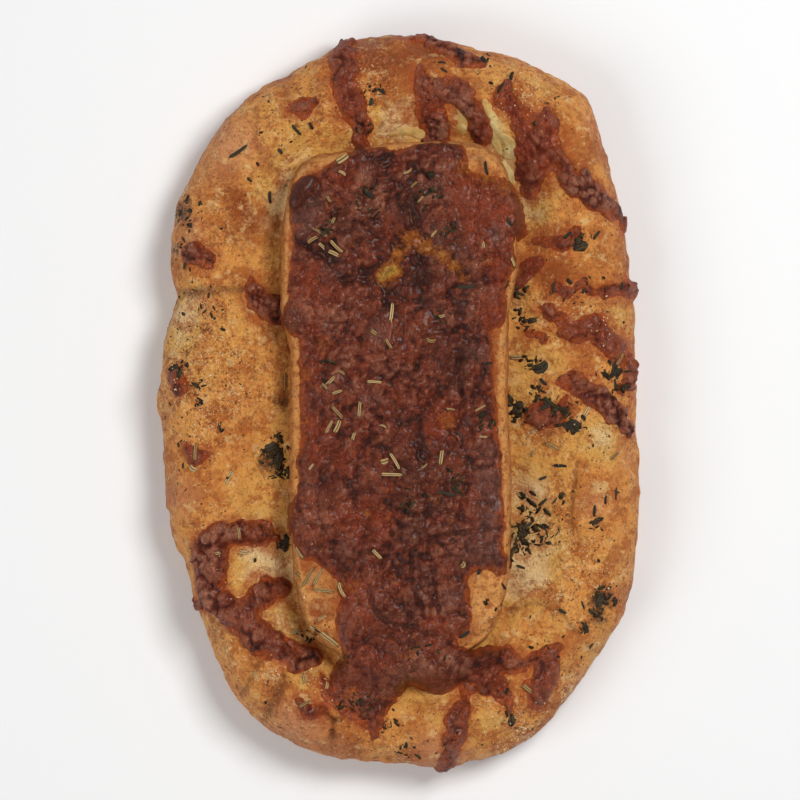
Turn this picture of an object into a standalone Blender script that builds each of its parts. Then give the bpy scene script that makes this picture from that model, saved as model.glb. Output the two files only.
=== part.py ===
"""Brie focaccia: an oval flatbread that carries a slab of brie under browned, melted cheese and rosemary.

Metres, +Z up. The bread lies on z = 0 with its long side along Y, and the origin is in the middle of its base.
Round pieces are worked out in directions from the middle: an outline is a reach in each direction.
"""

import math

import bmesh
import bpy
import numpy as np

# Bread: an oval outline, a flat base, a waist, a puffed rim and a lower field round the seat of the slab.
BREAD_HALF_WIDTH = 0.0735
BREAD_HALF_LENGTH = 0.1125
BREAD_SQUARENESS = 2.55
BREAD_DIRECTIONS = 80
WAIST_HEIGHT = 0.0105
RIM_HEIGHT = 0.0250
FIELD_HEIGHT = 0.0185
SHOULDER = 0.0150
FOOT_INSET = 0.0065
SIDE_LENGTH = 0.0135
SEAT_FLOOR = 0.0140
SEAT_GAP = 0.0009

# Bulges and dents of the bread's outline: direction in degrees, spread in degrees, reach.
OUTLINE_LOBES = (
    (59, 9, 0.0046),
    (79, 5, -0.0012),
    (109, 9, -0.0041),
    (123, 6, -0.0016),
    (141, 6, 0.0020),
    (156, 5, -0.0018),
    (178, 10, 0.0011),
    (226, 19, -0.0031),
    (287, 10, 0.0024),
    (321, 14, 0.0042),
)

# Puffs and, with a negative height, dimples of the crust: x, y, radius, height.
CRUST_PUFFS = (
    (0.054, 0.084, 0.016, 0.0015),
    (-0.006, 0.102, 0.013, 0.0009),
    (-0.051, 0.081, 0.014, 0.0012),
    (-0.058, 0.008, 0.017, 0.0013),
    (-0.066, -0.036, 0.013, 0.0010),
    (-0.045, -0.089, 0.012, 0.0014),
    (-0.024, -0.103, 0.011, 0.0011),
    (0.010, -0.106, 0.013, 0.0010),
    (0.062, -0.031, 0.014, 0.0015),
    (0.058, 0.046, 0.012, 0.0009),
    (-0.043, 0.057, 0.013, -0.0016),
    (0.044, 0.053, 0.010, -0.0012),
    (-0.048, -0.055, 0.012, -0.0016),
    (0.044, -0.067, 0.013, -0.0012),
    (-0.043, -0.016, 0.010, -0.0014),
    (0.042, -0.040, 0.011, -0.0014),
    (-0.066, 0.027, 0.009, -0.0016),
)

# Slab of brie: a long block with a waist, sharper corners at its upper end and a crowned top.
SLAB_REACH_UPPER = 0.0795
SLAB_REACH_LOWER = 0.0830
SLAB_SQUARENESS_UPPER = 6.0
SLAB_SQUARENESS_LOWER = 4.0
SLAB_END_SPREAD = math.radians(8)
# Half width of the slab by direction in degrees: the left side steps in at 150, the right side at 43.
SLAB_HALF_WIDTHS = (
    (-90, 0.0340),
    (-60, 0.0348),
    (0, 0.0328),
    (38, 0.0330),
    (48, 0.0362),
    (142, 0.0366),
    (155, 0.0334),
    (240, 0.0338),
    (270, 0.0340),
)
# Corners of the slab that are cut back: direction in degrees, spread in degrees, reach.
SLAB_LOBES = ((105, 9, -0.0032), (-76, 6, -0.0025), (-104, 6, -0.0025))
SLAB_TOP = 0.0310
SLAB_CROWN = 0.0010
SLAB_EDGE_ROUND = 0.0030
SLAB_FOOT_ROUND = 0.0015
SLAB_BELLY = 0.0005
REST_GAP = 0.0004

# Sheet of browned cheese on the slab: how far it stays inside the slab's edge, and where it runs over it.
CAP_INSET = 0.0035
CAP_THICKNESS = 0.0021
CAP_EDGE_THICKNESS = 0.0007
CAP_LUMPS = 0.0007
CAP_RUN_LENGTH = 0.0060
# Direction in degrees, spread in degrees, reach beyond the inset edge.
CAP_RUNS = (
    (148, 5, 0.0046),
    (104, 5, 0.0014),
    (79, 6, 0.0040),
    (54, 6.5, 0.0098),
    (40, 4, 0.0014),
    (28, 8, -0.0018),
    (-55, 3, 0.0042),
    (-62, 4, -0.0030),
    (-73.5, 5, 0.0105),
    (-85, 9, 0.0125),
    (-97, 6, 0.0120),
    (-111, 4.5, -0.0050),
)

# Melted cheese on the bread, each piece along its middle line: x, y, half width.
CHEESE_THICKNESS = 0.0027
CHEESE_STEP = 0.0034
CHEESE_GAP = 0.0005
CHEESE_PIECES = {
    "cheese_streak_top_left": (
        (
            (-0.0164, 0.1110, 0.0012),
            (-0.0172, 0.1072, 0.0040),
            (-0.0183, 0.1030, 0.0043),
            (-0.0177, 0.0977, 0.0043),
            (-0.0155, 0.0912, 0.0040),
            (-0.0130, 0.0868, 0.0030),
            (-0.0112, 0.0830, 0.0012),
        ),
    ),
    "cheese_drop_top_left": (
        ((-0.0340, 0.0889, 0.0010), (-0.0298, 0.0902, 0.0029), (-0.0256, 0.0914, 0.0010)),
    ),
    "cheese_streak_top": (
        (
            (0.0121, 0.0815, 0.0012),
            (0.0114, 0.0862, 0.0040),
            (0.0100, 0.0925, 0.0046),
            (0.0114, 0.0990, 0.0040),
            (0.0172, 0.1002, 0.0036),
            (0.0214, 0.0955, 0.0034),
            (0.0230, 0.0900, 0.0031),
            (0.0245, 0.0842, 0.0026),
            (0.0262, 0.0800, 0.0010),
        ),
    ),
    "cheese_streak_top_edge": (
        (
            (0.0046, 0.1104, 0.0010),
            (0.0086, 0.1118, 0.0026),
            (0.0130, 0.1104, 0.0030),
            (0.0177, 0.1078, 0.0026),
            (0.0219, 0.1056, 0.0022),
            (0.0258, 0.1038, 0.0010),
        ),
    ),
    "cheese_streak_top_right": (
        (
            (0.0310, 0.0950, 0.0010),
            (0.0329, 0.0880, 0.0034),
            (0.0378, 0.0826, 0.0050),
            (0.0430, 0.0775, 0.0050),
            (0.0484, 0.0719, 0.0031),
            (0.0530, 0.0669, 0.0026),
            (0.0583, 0.0629, 0.0031),
            (0.0632, 0.0595, 0.0034),
            (0.0672, 0.0556, 0.0030),
            (0.0694, 0.0520, 0.0010),
        ),
        (
            (0.0418, 0.0800, 0.0020),
            (0.0398, 0.0745, 0.0040),
            (0.0393, 0.0690, 0.0034),
            (0.0404, 0.0640, 0.0010),
        ),
    ),
    "cheese_spot_left": (
        (
            (-0.0455, 0.0375, 0.0010),
            (-0.0448, 0.0326, 0.0033),
            (-0.0428, 0.0283, 0.0040),
            (-0.0392, 0.0246, 0.0012),
        ),
    ),
    "cheese_drop_left_upper": (
        ((-0.0656, 0.0447, 0.0010), (-0.0623, 0.0440, 0.0034), (-0.0586, 0.0433, 0.0010)),
    ),
    "cheese_drop_left_lower": (
        ((-0.0696, 0.0110, 0.0010), (-0.0686, 0.0066, 0.0031), (-0.0678, 0.0022, 0.0010)),
    ),
    "cheese_finger_right": (
        (
            (0.0592, 0.0330, 0.0010),
            (0.0645, 0.0341, 0.0018),
            (0.0694, 0.0344, 0.0021),
            (0.0731, 0.0336, 0.0022),
            (0.0752, 0.0325, 0.0008),
        ),
    ),
    "cheese_streak_right_upper": (
        (
            (0.0447, 0.0270, 0.0010),
            (0.0488, 0.0243, 0.0024),
            (0.0540, 0.0217, 0.0032),
            (0.0592, 0.0220, 0.0044),
            (0.0644, 0.0194, 0.0038),
            (0.0684, 0.0156, 0.0032),
            (0.0706, 0.0112, 0.0030),
            (0.0712, 0.0062, 0.0010),
        ),
    ),
    "cheese_streak_right_lower": (
        (
            (0.0490, 0.0062, 0.0010),
            (0.0536, 0.0053, 0.0031),
            (0.0586, 0.0024, 0.0034),
            (0.0636, -0.0002, 0.0029),
            (0.0678, -0.0032, 0.0028),
            (0.0706, -0.0078, 0.0010),
        ),
    ),
    "cheese_spot_right": (
        ((0.0400, -0.0056, 0.0010), (0.0446, -0.0053, 0.0032), (0.0492, -0.0068, 0.0010)),
    ),
    "cheese_ring_bottom_left": (
        (
            (-0.0400, -0.0428, 0.0010),
            (-0.0450, -0.0406, 0.0036),
            (-0.0515, -0.0408, 0.0041),
            (-0.0580, -0.0432, 0.0042),
            (-0.0620, -0.0484, 0.0040),
            (-0.0624, -0.0542, 0.0042),
            (-0.0595, -0.0600, 0.0045),
            (-0.0546, -0.0648, 0.0046),
            (-0.0487, -0.0688, 0.0047),
            (-0.0428, -0.0732, 0.0046),
            (-0.0366, -0.0780, 0.0040),
            (-0.0310, -0.0806, 0.0028),
            (-0.0272, -0.0812, 0.0010),
        ),
        (
            (-0.0500, -0.0668, 0.0020),
            (-0.0448, -0.0618, 0.0038),
            (-0.0396, -0.0590, 0.0032),
            (-0.0350, -0.0568, 0.0010),
        ),
    ),
    "cheese_spot_bottom_right": (
        (
            (0.0470, -0.0748, 0.0010),
            (0.0455, -0.0802, 0.0038),
            (0.0438, -0.0862, 0.0045),
            (0.0424, -0.0915, 0.0034),
            (0.0408, -0.0958, 0.0010),
        ),
    ),
}
# Cheese that ran off the slab's lower end onto the bread. It is one piece with the sheet on the slab.
CAP_STREAKS = (
    (
        (-0.0140, -0.0876, 0.0040),
        (-0.0156, -0.0905, 0.0046),
        (-0.0120, -0.0944, 0.0050),
        (-0.0062, -0.0986, 0.0038),
        (0.0040, -0.1038, 0.0010),
    ),
    (
        (0.0208, -0.0850, 0.0036),
        (0.0200, -0.0915, 0.0030),
        (0.0186, -0.0973, 0.0028),
        (0.0171, -0.1029, 0.0026),
        (0.0154, -0.1085, 0.0025),
        (0.0140, -0.1136, 0.0010),
    ),
    (
        (0.0224, -0.0846, 0.0034),
        (0.0270, -0.0866, 0.0036),
        (0.0316, -0.0908, 0.0033),
        (0.0341, -0.0955, 0.0027),
        (0.0356, -0.0996, 0.0008),
    ),
)

# Dried rosemary leaves, half sunk in what they lie on: x, y, direction in degrees, length.
LEAF_WIDTH = 0.0014
LEAF_HEIGHT = 0.0013
LEAF_SUNK = 0.0005
LEAVES_ON_CAP = (
    (-0.0248, 0.0518, -33, 0.0066),
    (-0.0200, 0.0470, -50, 0.0064),
    (-0.0028, 0.0262, 81, 0.0085),
    (0.0204, 0.0349, 0, 0.0064),
    (0.0257, 0.0480, -74, 0.0042),
    (-0.0215, 0.0060, 43, 0.0050),
    (-0.0078, 0.0056, -5, 0.0055),
    (-0.0123, -0.0023, 86, 0.0070),
    (-0.0189, -0.0043, -46, 0.0077),
    (-0.0214, -0.0074, 58, 0.0070),
    (-0.0143, -0.0111, 74, 0.0040),
    (-0.0014, -0.0189, -61, 0.0064),
    (-0.0029, -0.0229, 2, 0.0082),
    (0.0129, -0.0168, 83, 0.0076),
    (0.0145, -0.0289, -13, 0.0062),
    (0.0249, -0.0026, 30, 0.0045),
    (-0.0074, -0.0472, -42, 0.0068),
    (-0.0235, -0.0590, -6, 0.0064),
    (-0.0180, -0.0585, -65, 0.0058),
    (0.0196, -0.0510, 40, 0.0038),
    (0.0200, -0.0722, 34, 0.0050),
)
LEAVES_ON_BREAD = (
    (-0.0629, -0.0161, 87, 0.0058),
    (-0.0529, -0.0237, 60, 0.0054),
    (-0.0500, 0.0835, 34, 0.0070),
    (0.0389, 0.0135, 2, 0.0046),
    (0.0400, -0.0296, -20, 0.0064),
    (0.0497, -0.0150, -22, 0.0055),
    (0.0663, -0.0175, 34, 0.0045),
    (-0.0288, -0.0940, 43, 0.0062),
)

# Colour, roughness of each material.
CRUST_FINISH = ((0.56, 0.27, 0.07), 0.50)
RIND_FINISH = ((0.60, 0.30, 0.10), 0.55)
CHEESE_FINISH = ((0.16, 0.045, 0.022), 0.42)


def smooth_step(x):
    """0 below 0, 1 above 1, and a soft S between them."""
    x = np.clip(x, 0.0, 1.0)
    return x * x * (3.0 - 2.0 * x)


def superellipse(angle, half_x, half_y, squareness):
    """Reach of a rounded box in a direction: |x/half_x|^n + |y/half_y|^n = 1, solved for the radius."""
    return (
        np.abs(np.cos(angle) / half_x) ** squareness + np.abs(np.sin(angle) / half_y) ** squareness
    ) ** (-1.0 / squareness)


def lobes(angle, table):
    """Sum of bell curves round the circle, each with its direction, spread and height."""
    total = np.zeros_like(angle)
    for direction, spread, height in table:
        away = (angle - math.radians(direction) + math.pi) % (2 * math.pi) - math.pi
        total += height * np.exp(-((away / math.radians(spread)) ** 2))
    return total


def bread_reach(angle):
    return superellipse(angle, BREAD_HALF_WIDTH, BREAD_HALF_LENGTH, BREAD_SQUARENESS) + lobes(
        angle, OUTLINE_LOBES
    )


def slab_reach(angle):
    """The slab's outline: each side has its own half width, and the lower end is rounder than the upper one."""
    degrees = (np.degrees(angle) + 90) % 360 - 90
    half_x = np.interp(degrees, *zip(*SLAB_HALF_WIDTHS))
    above = np.arctan2(np.sin(angle), np.abs(np.cos(angle)))
    upper = smooth_step(above / SLAB_END_SPREAD + 0.5)
    half_y = SLAB_REACH_LOWER + (SLAB_REACH_UPPER - SLAB_REACH_LOWER) * upper
    squareness = SLAB_SQUARENESS_LOWER + (SLAB_SQUARENESS_UPPER - SLAB_SQUARENESS_LOWER) * upper
    return superellipse(angle, half_x, half_y, squareness) + lobes(angle, SLAB_LOBES)


def even_directions(count):
    """Directions whose rays cut the line midway between slab and bread into equal lengths."""
    fine = np.linspace(0.0, 2 * math.pi, 4001)
    middle = (slab_reach(fine) + bread_reach(fine)) / 2
    steps = np.hypot(np.diff(middle * np.cos(fine)), np.diff(middle * np.sin(fine)))
    length = np.concatenate(([0.0], np.cumsum(steps)))
    return np.interp(np.arange(count) / count * length[-1], length, fine)


def crust_relief(x, y):
    """Height of the puffs and dimples of the crust, as a sum of round bells."""
    total = np.zeros_like(x)
    for middle_x, middle_y, radius, height in CRUST_PUFFS:
        total += height * np.exp(-((x - middle_x) ** 2 + (y - middle_y) ** 2) / radius**2)
    return total


def crust_point(angle, station, lift=0.0):
    """A point of the crust. Station 0 is the seat's edge, 1 the rim's crest, 2 the waist and 3 the foot.

    From seat to crest the crust rises in a soft S, from crest to waist and from waist to foot it is a quarter of
    an ellipse. Lift and relief move the point along the crust's own tilt.
    """
    seat = slab_reach(angle) + SEAT_GAP
    edge = bread_reach(angle)
    crest = edge - SHOULDER
    inner = np.clip(station, 0.0, 1.0)
    tilt = np.clip(station - 1.0, 0.0, 2.0) * (math.pi / 2)
    over = np.where(station > 2.0, FOOT_INSET, SHOULDER)
    start = np.where(station > 2.0, edge - FOOT_INSET, crest)
    reach = np.where(station < 1.0, seat + (crest - seat) * inner, start + over * np.sin(tilt))
    rise = np.where(station > 2.0, WAIST_HEIGHT, RIM_HEIGHT - WAIST_HEIGHT)
    field = FIELD_HEIGHT + (RIM_HEIGHT - FIELD_HEIGHT) * smooth_step(inner)
    height = np.where(station < 1.0, field, WAIST_HEIGHT + rise * np.cos(tilt))
    fade = smooth_step(station / 0.15) * smooth_step(2.8 - station)
    raised = lift + fade * crust_relief(reach * np.cos(angle), reach * np.sin(angle))
    reach = reach + raised * np.sin(tilt)
    height = height + raised * np.cos(tilt)
    return np.stack((reach * np.cos(angle), reach * np.sin(angle), height), axis=-1)


def station_below(x, y):
    """Direction and station of the crust under a point of the plan. Past the edge it runs down the side."""
    angle = np.arctan2(y, x)
    reach = np.hypot(x, y)
    seat = slab_reach(angle) + SEAT_GAP
    edge = bread_reach(angle)
    crest = edge - SHOULDER
    inner = np.clip((reach - seat) / (crest - seat), 0.0, 1.0)
    shoulder = np.arcsin(np.clip((reach - crest) / SHOULDER, 0.0, 1.0)) / (math.pi / 2)
    side = np.clip((reach - edge) / SIDE_LENGTH, 0.0, 0.6)
    return angle, inner + shoulder + side


def slab_top_height(x, y):
    """The slab's crowned, slightly wavy top."""
    crown = 1.0 - (x / SLAB_HALF_WIDTHS[0][1]) ** 2 / 2 - (y / SLAB_REACH_LOWER) ** 2 / 2
    waves = np.sin(x / 0.013 + 1.0) * np.cos(y / 0.019) * 0.0004
    return SLAB_TOP + SLAB_CROWN * crown + waves


def body_from_rings(name, rings, finish, fold=None):
    """A closed body: rings of points joined by triangles, the first and the last ring closed by one face each.

    From ring number fold on, the quads are split along their other diagonal, so that the two faces of a thin
    sheet are split alike.
    """
    mesh = bmesh.new()
    loops = [[mesh.verts.new(point) for point in ring] for ring in rings]
    count = len(loops[0])
    for n, (low, high) in enumerate(zip(loops, loops[1:])):
        for i in range(count):
            j = (i + 1) % count
            a, b, c, d = low[i], low[j], high[j], high[i]
            if fold is not None and n >= fold:
                a, b, c, d = b, c, d, a
            mesh.faces.new((a, b, c))
            mesh.faces.new((a, c, d))
    mesh.faces.new(tuple(reversed(loops[0])))
    mesh.faces.new(tuple(loops[-1]))
    return object_from_bmesh(name, mesh, finish)


def object_from_bmesh(name, mesh, finish):
    data = bpy.data.meshes.new(name)
    mesh.to_mesh(data)
    mesh.free()
    data.materials.append(food_material(name, *finish))
    data.shade_smooth()
    data.set_sharp_from_angle(angle=math.radians(50))
    body = bpy.data.objects.new(name, data)
    bpy.context.scene.collection.objects.link(body)
    return body


def food_material(name, colour, roughness):
    material = bpy.data.materials.new(name)
    material.use_nodes = True
    shader = material.node_tree.nodes["Principled BSDF"]
    shader.inputs["Base Color"].default_value = (*colour, 1.0)
    shader.inputs["Roughness"].default_value = roughness
    shader.inputs["Metallic"].default_value = 0.0
    return material


def join_into(body, others):
    """Joins others to body by one Boolean union on a collection, and removes them."""
    group = bpy.data.collections.new(body.name + "_toppings")
    for other in others:
        bpy.context.scene.collection.objects.unlink(other)
        group.objects.link(other)
    bpy.context.scene.collection.children.link(group)
    union = body.modifiers.new("union", "BOOLEAN")
    union.operation = "UNION"
    union.operand_type = "COLLECTION"
    union.collection = group
    union.solver = "EXACT"
    graph = bpy.context.evaluated_depsgraph_get()
    joined = bpy.data.meshes.new_from_object(body.evaluated_get(graph))
    body.modifiers.remove(union)
    body.data = joined
    for other in others:
        bpy.data.objects.remove(other)
    bpy.data.collections.remove(group)


def make_bread():
    """The loaf, from its flat base round the side and over the rim down to the floor of the slab's seat."""
    stations = (3.0, 2.75, 2.45, 2.2, 2.0, 1.8, 1.6, 1.4, 1.2, 1.0, 0.84, 0.68, 0.52, 0.36, 0.18, 0.0)
    rings = [crust_point(DIRECTIONS, np.full(BREAD_DIRECTIONS, station)) for station in stations]
    floor = rings[-1].copy()
    floor[:, 2] = SEAT_FLOOR
    return body_from_rings("focaccia_bread", rings + [floor], CRUST_FINISH)


def make_slab():
    """The brie: a straight side with a slight belly, a rounded top edge and a crowned top."""
    angles = DIRECTIONS
    reach = slab_reach(angles)
    foot = SEAT_FLOOR + REST_GAP
    edge = SLAB_TOP - SLAB_EDGE_ROUND
    # Distance inside the outline and height of each ring below the top.
    side = (
        (SLAB_FOOT_ROUND, foot),
        (0.0, foot + SLAB_FOOT_ROUND),
        (-SLAB_BELLY, (foot + edge) / 2),
        (0.0, edge),
        (SLAB_EDGE_ROUND * (1 - math.cos(math.pi / 6)), edge + SLAB_EDGE_ROUND / 2),
        (SLAB_EDGE_ROUND / 2, edge + SLAB_EDGE_ROUND * math.sin(math.pi / 3)),
    )
    rings = []
    for inset, height in side:
        ring = reach - inset
        rings.append(np.stack((ring * np.cos(angles), ring * np.sin(angles), 0 * ring + height), axis=-1))
    for share in (1.0, 0.75, 0.5, 0.25, 0.06):
        ring = (reach - SLAB_EDGE_ROUND) * share
        x, y = ring * np.cos(angles), ring * np.sin(angles)
        rings.append(np.stack((x, y, slab_top_height(x, y)), axis=-1))
    return body_from_rings("brie_slab", rings, RIND_FINISH)


def cap_underside(angle, reach):
    """The face under the cheese sheet: the slab's top, and past the slab a slope down to the crust."""
    x, y = reach * np.cos(angle), reach * np.sin(angle)
    beyond = reach - slab_reach(angle)
    lip = np.where(beyond > -SLAB_EDGE_ROUND - 1e-6, SLAB_TOP + SLAB_CROWN, 0.0)
    top = np.maximum(slab_top_height(x, y), lip)
    crust = crust_point(*station_below(x, y))[..., 2]
    fall = smooth_step(beyond / CAP_RUN_LENGTH)
    return top + (crust - top) * fall + REST_GAP * (1 + fall)


def cap_rings(angles):
    """Reach of each ring of the sheet: even steps to the slab's lip, one ring just past its edge, then its run."""
    slab = slab_reach(angles)
    end = lobes(angles, CAP_RUNS) - CAP_INSET
    lip = np.minimum(-SLAB_EDGE_ROUND, end - 0.0015)
    past = np.minimum(0.0006, lip + (end - lip) * 0.4)
    inner = [(slab + lip) * share for share in (0.08, 0.24, 0.4, 0.55, 0.69, 0.81, 0.91, 1.0)]
    outer = [slab + past + (end - past) * share for share in (0.0, 0.3, 0.6, 0.82, 1.0)]
    return inner + outer


def cap_lumps(x, y):
    """Lumps of the melted cheese: three crossing waves of different length."""
    return CAP_LUMPS * (
        np.sin(x / 0.0041 + 2.0 * np.sin(y / 0.011))
        + np.sin(y / 0.0047 + 1.5 * np.sin(x / 0.009))
        + np.sin((x + y) / 0.0058)
    ) / 2


def cap_thickness(x, y, share):
    """Thick in the middle, thin at its edge. Share is 0 in the middle of the sheet and 1 at its edge."""
    beyond = np.hypot(x, y) - slab_reach(np.arctan2(y, x))
    slope = smooth_step(beyond / CAP_RUN_LENGTH) * smooth_step(1.4 - beyond / CAP_RUN_LENGTH)
    body = CAP_THICKNESS * (1 + slope) + cap_lumps(x, y)
    return CAP_EDGE_THICKNESS + (body - CAP_EDGE_THICKNESS) * np.sqrt(np.clip(1 - share**6, 0, 1))


def make_cap():
    """The browned cheese on the slab, its runs over the edge, and its leaves of rosemary."""
    angles = DIRECTIONS
    rings = cap_rings(angles)
    under, over = [], []
    for ring in rings:
        x, y = ring * np.cos(angles), ring * np.sin(angles)
        low = cap_underside(angles, ring)
        under.append(np.stack((x, y, low), axis=-1))
        over.append(np.stack((x, y, low + cap_thickness(x, y, ring / rings[-1])), axis=-1))
    cap = body_from_rings("cheese_cap", under + over[::-1], CHEESE_FINISH, fold=len(under))
    streaks = [cheese_streak("cheese_run", line) for line in CAP_STREAKS]
    leaves = [leaf_on_cap(*leaf) for leaf in LEAVES_ON_CAP]
    join_into(cap, streaks + leaves)
    return cap


def smooth_line(points):
    """A smooth curve (Catmull-Rom) through the given rows, in short steps."""
    rows = np.array(points, float)
    rows = np.vstack((2 * rows[0] - rows[1], rows, 2 * rows[-1] - rows[-2]))
    fine = []
    for a, b, c, d in zip(rows, rows[1:], rows[2:], rows[3:]):
        t = np.linspace(0.0, 1.0, 24, endpoint=False)[:, None]
        fine.append(0.5 * (2 * b + (c - a) * t + (2 * a - 5 * b + 4 * c - d) * t**2 + (3 * b - a - 3 * c + d) * t**3))
    return np.vstack(fine + [rows[-2]])


def lengths(points):
    """Length travelled along a line, at each of its points."""
    return np.concatenate(([0.0], np.cumsum(np.linalg.norm(np.diff(points, axis=0), axis=1))))


def cheese_streak(name, line):
    """A run of melted cheese on the crust: a lens carried along its middle line, pinched at both ends.

    The line is followed in equal steps over the crust, and its width is laid off on the crust too.
    """
    fine = smooth_line(line)
    angle, station = station_below(fine[:, 0], fine[:, 1])
    path = np.column_stack((np.unwrap(angle), station, fine[:, 2]))
    travelled = lengths(crust_point(path[:, 0], path[:, 1]))
    even = np.linspace(0.0, travelled[-1], max(5, round(travelled[-1] / CHEESE_STEP) + 1))
    angle, station, half = (np.interp(even, travelled, column) for column in path.T)
    round_way = (crust_point(angle + 1e-3, station) - crust_point(angle - 1e-3, station)) / 2e-3
    down_way = (crust_point(angle, station + 1e-3) - crust_point(angle, station - 1e-3)) / 2e-3
    along = np.gradient(crust_point(angle, station), axis=0)
    across = np.cross(along, np.cross(down_way, round_way))
    across /= np.linalg.norm(across, axis=1)[:, None]
    # The two ways over the crust aren't square to each other, so the share of each is solved for.
    rr, rd, dd = (round_way**2).sum(axis=1), (round_way * down_way).sum(axis=1), (down_way**2).sum(axis=1)
    ar, ad = (across * round_way).sum(axis=1), (across * down_way).sum(axis=1)
    turn = (dd * ar - rd * ad) / (rr * dd - rd**2)
    climb = (rr * ad - rd * ar) / (rr * dd - rd**2)
    numbers = np.arange(len(even))
    half = half * (1 + 0.12 * np.sin(2.3 * numbers + 600 * fine[0, 0]))
    thick = CHEESE_THICKNESS * np.minimum(1.0, 0.35 + half / 0.0045) * (1 + 0.15 * np.sin(1.9 * numbers + 1.0))
    # Place across the run from -1 to 1, and height as a share of the thickness, round the lens.
    lens = ((-0.6, 0.85), (0.0, 1.0), (0.6, 0.85), (1.0, 0.15), (0.55, 0.0), (0.0, 0.0), (-0.55, 0.0), (-1.0, 0.15))
    columns = [
        crust_point(angle + turn * half * place, station + climb * half * place, CHEESE_GAP + thick * share)
        for place, share in lens
    ]
    return body_from_rings(name, np.stack(columns, axis=1), CHEESE_FINISH)


def leaf_body(middle, upward, heading, length):
    """A leaf: a six-sided outline with blunt points, drawn up by its height."""
    heading = heading - upward * heading.dot(upward)
    heading = heading / np.linalg.norm(heading)
    side = np.cross(upward, heading)
    outline = ((1.0, 0.25), (0.8, 1.0), (-0.8, 1.0), (-1.0, 0.25), (-1.0, -0.25), (-0.8, -1.0), (0.8, -1.0), (1.0, -0.25))
    rings = []
    for height in (-LEAF_SUNK, LEAF_HEIGHT - LEAF_SUNK):
        rings.append([
            middle + heading * u * length / 2 + side * v * LEAF_WIDTH / 2 + upward * height for u, v in outline
        ])
    return body_from_rings("leaf", rings, CHEESE_FINISH)


def leaf_on_cap(x, y, degrees, length):
    """A leaf that lies level on the highest cheese under it."""
    heading = np.array((math.cos(math.radians(degrees)), math.sin(math.radians(degrees)), 0.0))
    along = np.linspace(-0.5, 0.5, 7) * length
    xs, ys = x + along * heading[0], y + along * heading[1]
    angles, reach = np.arctan2(ys, xs), np.hypot(xs, ys)
    tops = cap_underside(angles, reach) + cap_thickness(xs, ys, 0.0)
    middle = np.array((x, y, tops.mean()))
    heading[2] = (tops[-1] - tops[0]) / length
    return leaf_body(middle, np.array((0.0, 0.0, 1.0)), heading, length)


def leaf_on_bread(x, y, degrees, length):
    """A leaf that follows the crust's tilt, pressed a little deeper because the crust is faceted."""
    turn = math.radians(degrees)
    xs = x + np.array((-0.5, 0.0, 0.5)) * length * math.cos(turn)
    ys = y + np.array((-0.5, 0.0, 0.5)) * length * math.sin(turn)
    angle, station = station_below(xs, ys)
    low, high = crust_point(angle, station, -0.0003), crust_point(angle, station, 0.0007)
    return leaf_body(low[1], (high[1] - low[1]) * 1000, low[2] - low[0], length)


for old in list(bpy.data.objects):
    bpy.data.objects.remove(old)

DIRECTIONS = even_directions(BREAD_DIRECTIONS)
bread = make_bread()
join_into(bread, [leaf_on_bread(*leaf) for leaf in LEAVES_ON_BREAD])
make_slab()
make_cap()
for piece_name, lines in CHEESE_PIECES.items():
    first, *others = [cheese_streak(piece_name, line) for line in lines]
    if others:
        join_into(first, others)
    first.name = piece_name
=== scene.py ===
"""A brie focaccia seen from straight above: an oval loaf, a slab of brie baked into it, browned melted
cheese over the slab and in runs across the crust, and dried rosemary over everything. Metres, +Z up, as in
the solids."""

import math

import bpy
import numpy as np
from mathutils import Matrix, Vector


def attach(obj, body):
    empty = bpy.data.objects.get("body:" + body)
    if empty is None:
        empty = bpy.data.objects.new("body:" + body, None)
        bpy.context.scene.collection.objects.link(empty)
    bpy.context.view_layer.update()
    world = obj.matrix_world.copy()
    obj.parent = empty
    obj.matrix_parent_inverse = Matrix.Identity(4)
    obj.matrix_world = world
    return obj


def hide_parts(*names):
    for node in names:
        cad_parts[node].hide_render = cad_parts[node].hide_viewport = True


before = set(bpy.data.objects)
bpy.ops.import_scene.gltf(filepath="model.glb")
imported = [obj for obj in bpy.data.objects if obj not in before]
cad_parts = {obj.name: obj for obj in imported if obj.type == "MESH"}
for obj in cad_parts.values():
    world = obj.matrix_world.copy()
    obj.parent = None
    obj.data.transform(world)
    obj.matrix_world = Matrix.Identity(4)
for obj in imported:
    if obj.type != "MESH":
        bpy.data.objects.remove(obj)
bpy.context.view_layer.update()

# The loaf. Oiled wheat dough, shaped by hand and baked on a flat tray: its rim puffed up and browned, and
# the low field round the slab stayed pale and oily. The slab sits in a hollow of it.

# Each point of the crust has a direction from the middle, and a station: 0 at the slab's seat, 1 on the
# rim's crest, 2 at the waist and 3 at the foot.
BREAD_HALF_WIDTH = 0.0735
BREAD_HALF_LENGTH = 0.1125
BREAD_SQUARENESS = 2.55
WAIST_HEIGHT = 0.0105
RIM_HEIGHT = 0.0250
FIELD_HEIGHT = 0.0185
SHOULDER = 0.0150
FOOT_INSET = 0.0065
SIDE_LENGTH = 0.0135
SEAT_FLOOR = 0.0140
SEAT_GAP = -0.0006
# Points of the loaf's mesh: directions round it, and rings up its side, over its shoulder and down its
# field.
CRUST_DIRECTIONS = 790
SIDE_RINGS = 15
SHOULDER_RINGS = 45
FIELD_RINGS = 60
# Bulges and dents of the loaf's outline: direction in degrees, spread in degrees, reach.
OUTLINE_LOBES = (
    (59, 9, 0.0046), (79, 5, -0.0012), (109, 9, -0.0041), (123, 6, -0.0016), (141, 6, 0.0020),
    (156, 5, -0.0018), (178, 10, 0.0011), (226, 19, -0.0031), (287, 10, 0.0024), (321, 14, 0.0042),
)
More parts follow.
